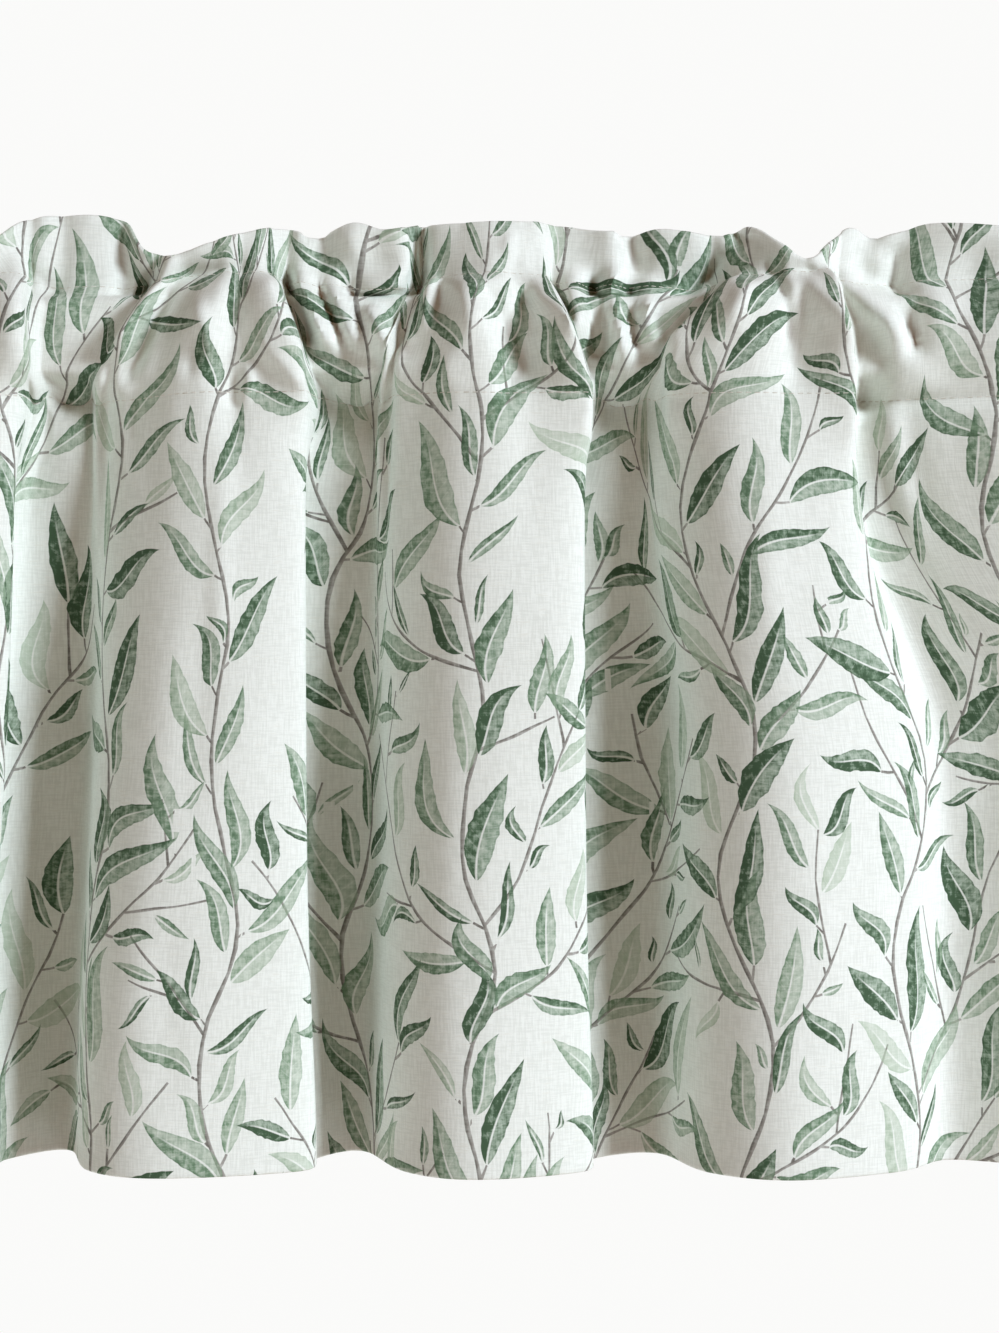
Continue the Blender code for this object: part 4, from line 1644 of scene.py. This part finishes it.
@dataclass(frozen=True)
class LinenLookCloth:
    """Linen-look polyester, woven plain with uneven slub yarns and screen printed.

    To the eye it is a matt off-white with a dry grain: short pale and dark streaks run along the threads, and
    the print breaks up slightly over them. The reverse shows the print only as a pale ghost.
    """

    name: str
    light: str
    dark: str
    fleck: str
    ink_share: float
    slub_width: float = 0.95
    slub_length: float = 10.0
    fleck_share: float = 0.30
    streaks: Pair = (0.72, 1.28)  # the grain's levels at which a streak starts and is full
    flecks: Pair = (0.60, 0.74)
    blots: Pair = (0.3, 0.7)
    blot_tones: Pair = (1.16, 0.80)
    proud_tone: float = 0.86  # share of the ink that a proud yarn takes
    bump: float = 0.35
    relief: float = 0.12
    roughness: float = 0.88
    ior: float = 1.5
    specular: float = 0.3
    sheen: float = 0.10
    sheen_roughness: float = 0.5

    def _woven(self, tree: NodeTree, flat: Node) -> tuple[Node, NodeSocket]:
        """Weaves the ground of slub yarns.

        Args:
            tree: the material's node tree.
            flat: the place on the flat cloth, in millimetres.

        Returns:
            How far the yarns stand proud, and the cloth's colour.
        """
        add = partial(add_node, tree)
        # Slub yarns are really 0.5 mm apart. They are drawn about twice as coarse, so that they show.
        thin, long = 1 / self.slub_width, 1 / self.slub_length
        runs = [
            add("VectorMath", {0: flat, 1: (*scales, 1.0)}, operation="MULTIPLY")
            for scales in ((thin, long), (long, thin))
        ]
        warp, weft = (
            add("TexNoise", {"Vector": run, "Scale": 1.0, "Detail": 2.0}, noise_dimensions="2D")
            for run in runs
        )
        grain = add("Math", {0: warp, 1: weft}, operation="ADD")
        streak = {0: grain, 1: self.streaks[0], 2: self.streaks[1]}
        streak = add("MapRange", streak, interpolation_type="SMOOTHSTEP")
        fleck = {0: weft, 1: self.flecks[0], 2: self.flecks[1], 3: 0.0, 4: self.fleck_share}
        fleck = add("MapRange", fleck, interpolation_type="SMOOTHSTEP")
        yarns = {0: streak, 6: linear(self.dark), 7: linear(self.light)}
        yarns = add("Mix", yarns, data_type="RGBA").outputs[2]
        flecked = {0: fleck, 6: yarns, 7: linear(self.fleck)}
        return streak, add("Mix", flecked, data_type="RGBA").outputs[2]

    def make(self, ink: WillowInk, leaf: NodeTree, stem: NodeTree, layers: PrintOnGrid) -> Material:
        """Makes the material.

        Args:
            ink: the print's ink.
            leaf: the group that draws a layer of leaves.
            stem: the group that draws a layer of stems.
            layers: the print, whose numbers of layers are drawn.

        Returns:
            The material, which reads the cloth's own attributes.
        """
        material, tree, shader = new_material(self.name)
        add = partial(add_node, tree)
        flat = add("Attribute", attribute_name="flat_cloth").outputs["Vector"]
        flat = add("VectorMath", {0: flat, 3: 1 / MM}, operation="SCALE")
        streak, colour = self._woven(tree, flat)

        # Washes of ink are mottled at a few millimetres, and lighter where the yarns stand proud.
        blot = {"Vector": flat, "Scale": 1 / ink.mottle_size, "Detail": 3.0}
        blot = add("TexNoise", blot, noise_dimensions="2D")
        mottle = dict(zip(range(5), (blot, *self.blots, *self.blot_tones)))
        mottle = add("MapRange", mottle)
        broken = add("MapRange", {0: streak, 3: 1.0, 4: self.proud_tone})
        mottle = add("Math", {0: mottle, 1: broken}, operation="MULTIPLY")
        thinned = add("Math", {0: mottle, 1: self.ink_share}, operation="MULTIPLY")

        covered, light = None, None
        for k in range(layers.stem_layers):
            place = add("Attribute", attribute_name=f"stem_place_{k}").outputs["Vector"]
            drawn = add("Group", node_tree=stem)
            feed(drawn, {"Place": place, "Mottle": thinned})
            if covered is None:
                covered, light = drawn.outputs["Density"], drawn.outputs["Light"]
            else:
                pair = {0: covered, 1: drawn.outputs["Density"]}
                covered = add("Math", pair, operation="MAXIMUM")
        bark = {0: light, 6: linear(ink.bark), 7: linear(ink.bark_light)}
        bark = add("Mix", bark, data_type="RGBA").outputs[2]
        colour = add("Mix", {0: covered, 6: colour, 7: bark}, data_type="RGBA").outputs[2]
        for k in range(layers.leaf_layers):
            drawn = add("Group", node_tree=leaf)
            for name, source in (("Place", f"leaf_place_{k}"), ("Form", f"leaf_form_{k}")):
                feed(drawn, {name: add("Attribute", attribute_name=source).outputs["Vector"]})
            feed(drawn, {"Mottle": mottle})
            share = {0: drawn.outputs["Density"], 1: self.ink_share}
            share = add("Math", share, operation="MULTIPLY")
            inked = {0: share, 6: colour, 7: drawn.outputs["Colour"]}
            colour = add("Mix", inked, data_type="RGBA").outputs[2]

        bump = {"Height": streak, "Strength": self.bump, "Distance": self.relief * MM}
        levels = {
            "Base Color": colour,
            "Normal": add("Bump", bump),
            "Roughness": self.roughness,
            "IOR": self.ior,
            "Specular IOR Level": self.specular,
            "Sheen Weight": self.sheen,
            "Sheen Roughness": self.sheen_roughness,
        }
        feed(shader, levels)
        return material


@dataclass(frozen=True)
class SpunThread:
    """Spun polyester sewing thread, plied: matt off-white, its twist a faint slanting ripple of relief, with
    painted shade in the grooves between the plies.
    """

    colour: str = "#E2E0D6"
    # painted shade: the darker colour that the twist's grooves take
    shade: str = "#C4C0B2"
    ply_length: float = 0.7  # in millimetres
    coarser: float = 20.0
    distortion: float = 1.5
    bump: float = 0.3
    relief: float = 0.05
    roughness: float = 0.7

    def make(self) -> Material:
        """Makes the material."""
        material, tree, shader = new_material("spun_polyester_thread")
        add = partial(add_node, tree)
        where = add("TexCoord").outputs["Object"]
        # Real plies are too fine to show. A unit of the wave texture is drawn 20 times as long as a ply.
        scale = 1 / (self.ply_length * MM * self.coarser)
        turn = {"Vector": where, "Scale": scale, "Distortion": self.distortion}
        turn = add("TexWave", turn, bands_direction="DIAGONAL").outputs["Fac"]
        # The colour falls towards the shade colour in the twist's grooves: painted shade, beside the bump's
        # relief.
        groove_shaded = {0: turn, 6: linear(self.shade), 7: linear(self.colour)}
        colour = add("Mix", groove_shaded, data_type="RGBA").outputs[2]
        bump = {"Height": turn, "Strength": self.bump, "Distance": self.relief * MM}
        bump = add("Bump", bump)
        feed(shader, {"Base Color": colour, "Normal": bump, "Roughness": self.roughness})
        return material


@dataclass(frozen=True)
class PaintedBoard:
    """Matt emulsion, rolled on board: near white, with the roller's faint orange peel."""

    colour: str = "#F3F2EF"
    peel: float = 3.0  # in millimetres
    bump: float = 0.1
    relief: float = 0.2
    roughness: float = 0.9

    def make(self) -> Material:
        """Makes the material."""
        material, tree, shader = new_material("rolled_matt_emulsion")
        where = add_node(tree, "TexCoord").outputs["Object"]
        peel = add_node(tree, "TexNoise", {"Vector": where, "Scale": 1 / (self.peel * MM)})
        bump = {"Height": peel, "Strength": self.bump, "Distance": self.relief * MM}
        bump = add_node(tree, "Bump", bump)
        feed(shader, {"Base Color": linear(self.colour), "Normal": bump, "Roughness": self.roughness})
        return material


PRINTED_FACE = LinenLookCloth("printed_slub_linen_look", "#E6EAE2", "#DBDFD6", "#CECEBF", 1.0)
REVERSE = LinenLookCloth("slub_linen_look_reverse", "#D9D8D0", "#CDCBC1", "#C0BBAA", 0.32)


# --- Sub-assemblies ---


@dataclass
class ValancePanel:
    """The printed panel with its hem, pocket and frill, as one sheet of cloth."""

    cut: PanelCut
    front: HangingFront
    gathers: Gathers
    back_rows: int = 8
    bend_rows: int = 3
    tail_rows: int = 3
    face_band: Pair = (0.20, 0.996)  # height of the texture map that the printed face takes
    reverse_band: Pair = (0.004, 0.19)
    side_margin: float = 0.004
    sharp: float = 80.0  # degrees between faces, from which their edge is shaded sharp

    def shape(self) -> Array:
        """Returns every point of the panel, from the hem's inner edge up the front and down behind."""
        rows = self.gathers.lay(self.front.rows())
        self.front_points = rows
        self.behind = backward(rows)
        back = rows + self.cut.layers * self.behind
        self.back_points = back
        foot, neck = self.front.foot, self.front.neck
        return np.concatenate(
            [
                back[self.front.hem_top :: -1],
                self._bend(back[0], rows[0], -1.0),
                rows,
                self._bend(rows[-1], back[-1], 1.0),
                back[neck:][::-1],
                self._pocket_back(back[neck], back[foot]),
                back[foot - self.tail_rows : foot + 1][::-1],
            ]
        )

    def _bend(self, start: Array, end: Array, up: float) -> Array:
        """Turns the cloth over at an edge.

        Args:
            start: the last row before the turn.
            end: the first row after it.
            up: 1 where it turns over at the top and -1 where it does at the bottom.

        Returns:
            The rows of the rounded turn between them.
        """
        turns = np.linspace(0.0, math.pi, self.bend_rows + 2)[1:-1]
        middle, half = (start + end) / 2, (start - end) / 2
        rise = np.array([0.0, 0.0, up * self.cut.layers / 2])
        return np.array([middle + half * math.cos(turn) + rise * math.sin(turn) for turn in turns])

    def _pocket_back(self, upper: Array, lower: Array) -> Array:
        """Lays the pocket's back.

        Args:
            upper: the row at the upper stitches.
            lower: the row at the lower ones.

        Returns:
            The rows between them.
        """
        rows = []
        full = self.front.swollen(1)
        for down in np.linspace(0.0, 1.0, self.back_rows + 1)[1:-1]:
            row = upper + (lower - upper) * down
            row[:, 1] += (full - row[:, 1]) * math.sin(math.pi * down) ** self.front.back_power
            rows.append(row)
        return np.array(rows)

    def build(self) -> Object:
        """Builds the cloth with its print.

        Returns:
            The cloth as a closed thin shell, its printed face and its reverse in two materials.
        """
        points = self.shape()
        up = flat_up(points)
        self.length = float(up[-1])
        high, wide = points.shape[:2]
        corner = np.arange(high * wide).reshape(high, wide)
        cloth = mesh_object("valance_cloth_printed", points, face_corners(corner).reshape(-1, 4).tolist())
        mesh = cloth.data
        mesh.shade_smooth()

        layers = self._printed(up)
        for name, values in layers.attributes().items():
            mesh.attributes.new(name, "FLOAT_VECTOR", "CORNER").data.foreach_set("vector", values.ravel())
        flat = np.stack(np.broadcast_arrays(self.front.flat_across[None, :], up[:, None], 0.0), axis=-1)
        mesh.attributes.new("flat_cloth", "FLOAT_VECTOR", "POINT").data.foreach_set("vector", flat.ravel())
        self._lay_out(mesh, flat.reshape(-1, 3))

        ink = WillowInk()
        leaf_group, stem_group = ink.leaf_group(), ink.stem_group()
        for finish in (PRINTED_FACE, REVERSE):
            mesh.materials.append(finish.make(ink, leaf_group, stem_group, layers))
        self._thicken(cloth)
        return cloth

    def _printed(self, up: Array) -> PrintOnGrid:
        """Grows the print and carries it to the cloth's faces.

        Args:
            up: how far up the flat cloth each row of points lies, in metres.

        Returns:
            The print by face.
        """
        plants = WillowPrint(self.cut.width / MM, self.length / MM)
        plants.grow()
        layers = PrintOnGrid(self.front.flat_across / MM, up / MM)
        for stem in plants.stems:
            layers.lay_stem(stem)
        for leaf in plants.leaves:
            layers.lay_leaf(leaf)
        log.info("print: %d stems, %d leaves", len(plants.stems), len(plants.leaves))
        return layers

    def _lay_out(self, mesh: Mesh, flat: Array) -> None:
        """Lays the faces out in the texture map as they lie on the flat cloth.

        Args:
            mesh: the cloth before it has a thickness.
            flat: the place of each of its points on the flat cloth, in metres.
        """
        index = read_each(mesh.loops, "vertex_index", np.int32)
        low, high = self.face_band
        across = self.side_margin + (1.0 - 2 * self.side_margin) * flat[index, 0] / self.cut.width
        up = low + (high - low) * flat[index, 1] / self.length
        places = np.stack([across, up], axis=1).astype(np.float32)
        mesh.uv_layers.new(name=TEXTURE_MAP).data.foreach_set("uv", places.ravel())

    def _thicken(self, cloth: Object) -> None:
        """Gives the cloth its thickness, and its reverse a place of its own in the texture map.

        Args:
            cloth: the cloth, whose mesh it replaces.
        """
        shell = cloth.modifiers.new("thickness", "SOLIDIFY")
        shell.thickness = self.cut.cloth
        shell.offset = 0.0
        shell.material_offset = 1
        shell.material_offset_rim = 1
        graph = bpy.context.evaluated_depsgraph_get()
        evaluated = cloth.evaluated_get(graph)
        solid = bpy.data.meshes.new_from_object(evaluated, preserve_all_data_layers=True, depsgraph=graph)
        cloth.modifiers.clear()
        cloth.data = solid
        reverse = read_each(solid.polygons, "material_index", np.int32) > 0
        on = np.repeat(reverse, read_each(solid.polygons, "loop_total", np.int32))
        uv = solid.uv_layers[TEXTURE_MAP].data
        places = read_each(uv, "uv", np.float32, 2).reshape(-1, 2)
        share = (places[on, 1] - self.face_band[0]) / (self.face_band[1] - self.face_band[0])
        places[on, 1] = self.reverse_band[0] + (self.reverse_band[1] - self.reverse_band[0]) * share
        uv.foreach_set("uv", places.ravel())
        solid.set_sharp_from_angle(angle=math.radians(self.sharp))


@dataclass
class Stitching:
    """The rows of lockstitch that hold the pocket, the frill, the hem and the side hems, sized in metres."""

    panel: ValancePanel
    stitch: float = 0.0032
    pitch: float = 0.0042
    radius: float = 0.00020
    sides: int = 6
    proud: float = 0.2  # share of its radius by which the thread stands off the cloth
    side_hem: float = 0.010
    shares: tuple[float, ...] = (0.0, 0.2, 0.8, 1.0)  # of a stitch's length at its four rings of points
    girths: tuple[float, ...] = (0.35, 1.0, 1.0, 0.35)
    sunk: tuple[float, ...] = (1.0, 0.0, 0.0, 1.0)

    def _stitch(self, centre: Array, normal: Array) -> Array:
        """Makes one stitch.

        Args:
            centre: the middles of its rings.
            normal: the way out of the cloth at each ring.

        Returns:
            The points of its rings, one ring after another.
        """
        run = centre[-1] - centre[0]
        across = np.cross(run, normal[1])
        across /= max(np.linalg.norm(across), 1e-9)
        girths = np.array(self.girths) * self.radius
        turns = np.linspace(0.0, 2 * math.pi, self.sides, endpoint=False)
        rings = [
            centre[k] + girths[k] * (math.cos(turn) * across + math.sin(turn) * normal[k])
            for k in range(len(girths))
            for turn in turns
        ]
        return np.array(rings)

    def _stitch_faces(self, first: int) -> list[list[int]]:
        """Joins the rings of one stitch and caps its ends.

        Args:
            first: the number of its first point.

        Returns:
            The numbers of each face's points.
        """
        ring = np.arange(self.sides)
        after = (ring + 1) % self.sides
        faces = []
        for k in range(len(self.girths) - 1):
            low, high = first + k * self.sides, first + (k + 1) * self.sides
            faces.extend(np.stack([low + ring, low + after, high + after, high + ring], axis=1).tolist())
        faces.append((first + ring[::-1]).tolist())
        faces.append((first + (len(self.girths) - 1) * self.sides + ring).tolist())
        return faces

    def _row(self, line: Array, out: Array) -> list[Array]:
        """Lays stitches along a line on the cloth.

        Args:
            line: points along the row, in the middle of the cloth.
            out: the unit normal at each of them, to the side on which the thread lies.

        Returns:
            The points of each stitch.
        """
        line = line + out * (self.panel.cut.cloth / 2 + self.proud * self.radius)
        lengths = lengths_along(line)
        made = []
        for start in np.arange(self.pitch, lengths[-1] - self.pitch, self.pitch):
            at = start + np.array(self.shares) * self.stitch
            centre = np.stack([np.interp(at, lengths, line[:, k]) for k in range(3)], axis=1)
            normal = np.stack([np.interp(at, lengths, out[:, k]) for k in range(3)], axis=1)
            centre = centre - normal * (np.array(self.sunk) * self.radius)[:, None]
            made.append(self._stitch(centre, normal))
        return made

    def build(self) -> Object:
        """Builds every row of stitches as one piece."""
        panel = self.panel
        rows, back, behind = panel.front_points, panel.back_points, panel.behind
        foot, neck = panel.front.foot, panel.front.neck
        lines = [(rows[k], -behind[k]) for k in (foot, neck)]
        lines += [(back[k], behind[k]) for k in (foot, neck, panel.front.hem_top - 1)]
        side = int(np.searchsorted(panel.front.flat_across, self.side_hem))
        lines += [(rows[:foot, column], -behind[:foot, column]) for column in (side, -1 - side)]
        stitches = [stitch for line, out in lines for stitch in self._row(line, out)]
        faces = [face for k, stitch in enumerate(stitches) for face in self._stitch_faces(k * len(stitch))]
        thread = mesh_object("stitching", np.concatenate(stitches), faces)
        thread.data.shade_smooth()
        thread.data.materials.append(SpunThread().make())
        return thread


class Softbox(NamedTuple):
    """A square soft light: its name, place and side in metres, power in watts, and colour."""

    name: str
    place: tuple[float, float, float]
    size: float
    power: float
    colour: str
    lights_floor: bool = False


@dataclass
class Studio:
    """A plain pale floor, soft lights before and behind the cloth, and the camera at the photo's angle."""

    floor_height: float = -2.2
    floor_size: float = 6.0
    distance: float = 1.15
    eye_height: float = -0.2163
    seen_height: float = 0.641
    sensor: float = 36.0
    lit_height: float = -0.22
    contrast_gamma: float = 0.89
    surround: str = "#F5932E"
    surround_strength: float = 0.18
    backdrop: str = "#FBFBFA"
    softboxes: tuple[Softbox, ...] = (
        Softbox("key_softbox", (4.15, -2.8, 1.6), 1.45, 356.0, "#E6F0FD"),
        Softbox("fill_softbox", (-2.1, -2.0, 0.5), 1.0, 27.0, "#DCEFF6"),
        Softbox("rear_softbox_left", (-3.4, 2.2, 0.9), 1.6, 150.0, "#E2EDF6"),
        Softbox("rear_softbox_right", (1.9, 3.1, 0.4), 1.6, 36.0, "#E2EDF6"),
        Softbox("floor_softbox", (0.0, 0.4, -0.80), 4.4, 34.0, "#F4F3F2", lights_floor=True),
    )

    def build_floor(self) -> Object:
        """Lays the floor."""
        corners = np.array([(-1, -1), (1, -1), (1, 1), (-1, 1)]) * self.floor_size / 2
        points = np.column_stack([corners, np.full(len(corners), self.floor_height)])
        floor = mesh_object("studio_floor", points, [[0, 1, 2, 3]])
        floor.data.materials.append(PaintedBoard().make())
        return floor

    def light(self) -> None:
        """Hangs the lights and sets the surrounding light, dim and warm on the cloth, pale behind it."""
        for box in self.softboxes:
            data = bpy.data.lights.new(box.name, "AREA")
            data.size = box.size
            data.energy = box.power
            data.color = linear(box.colour)[:3]
            lamp = placed(box.name, data)
            lamp.location = box.place
            lamp.visible_camera = False
            target = Vector((0.0, 0.0, self.floor_height if box.lights_floor else self.lit_height))
            lamp.rotation_euler = (target - lamp.location).to_track_quat("-Z", "Y").to_euler()
        view = bpy.context.scene.view_settings
        view.view_transform = "Standard"
        view.gamma = self.contrast_gamma
        world = bpy.data.worlds.new("studio_surround")
        bpy.context.scene.world = world
        world.use_nodes = True
        tree = world.node_tree
        lit = tree.nodes["Background"]
        feed(lit, {"Color": linear(self.surround), "Strength": self.surround_strength})
        seen = add_node(tree, "Background", {"Color": linear(self.backdrop), "Strength": 1.0})
        ray = add_node(tree, "LightPath").outputs["Is Camera Ray"]
        both = add_node(tree, "MixShader", {0: ray, 1: lit, 2: seen})
        feed(tree.nodes["World Output"], {"Surface": both})

    def place_camera(self) -> Object:
        """Places the camera level with the middle of the picture."""
        data = bpy.data.cameras.new("camera")
        data.sensor_width = self.sensor
        data.lens = self.sensor * self.distance / self.seen_height
        camera = placed("camera", data)
        camera.location = (0.0, -self.distance, self.eye_height)
        camera.rotation_euler = (math.radians(90), 0.0, 0.0)
        bpy.context.scene.camera = camera
        return camera


def main() -> None:
    """Builds the valance, its stitching and the studio, and reports each piece."""
    logging.basicConfig(level=logging.INFO, format="%(name)s: %(message)s")
    studio = Studio()
    studio.place_camera()
    cut = PanelCut()
    front = HangingFront(cut, FoldPlan())
    panel = ValancePanel(cut, front, Gathers(front))
    cloth = panel.build()
    thread = Stitching(panel).build()
    for piece in (cloth, thread):
        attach(piece, BODY)
        log.info("%s: %d faces", piece.name, len(piece.data.polygons))
    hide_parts(CLOTH_NODE)
    studio.build_floor()
    studio.light()


if __name__ == "__main__":
    main()
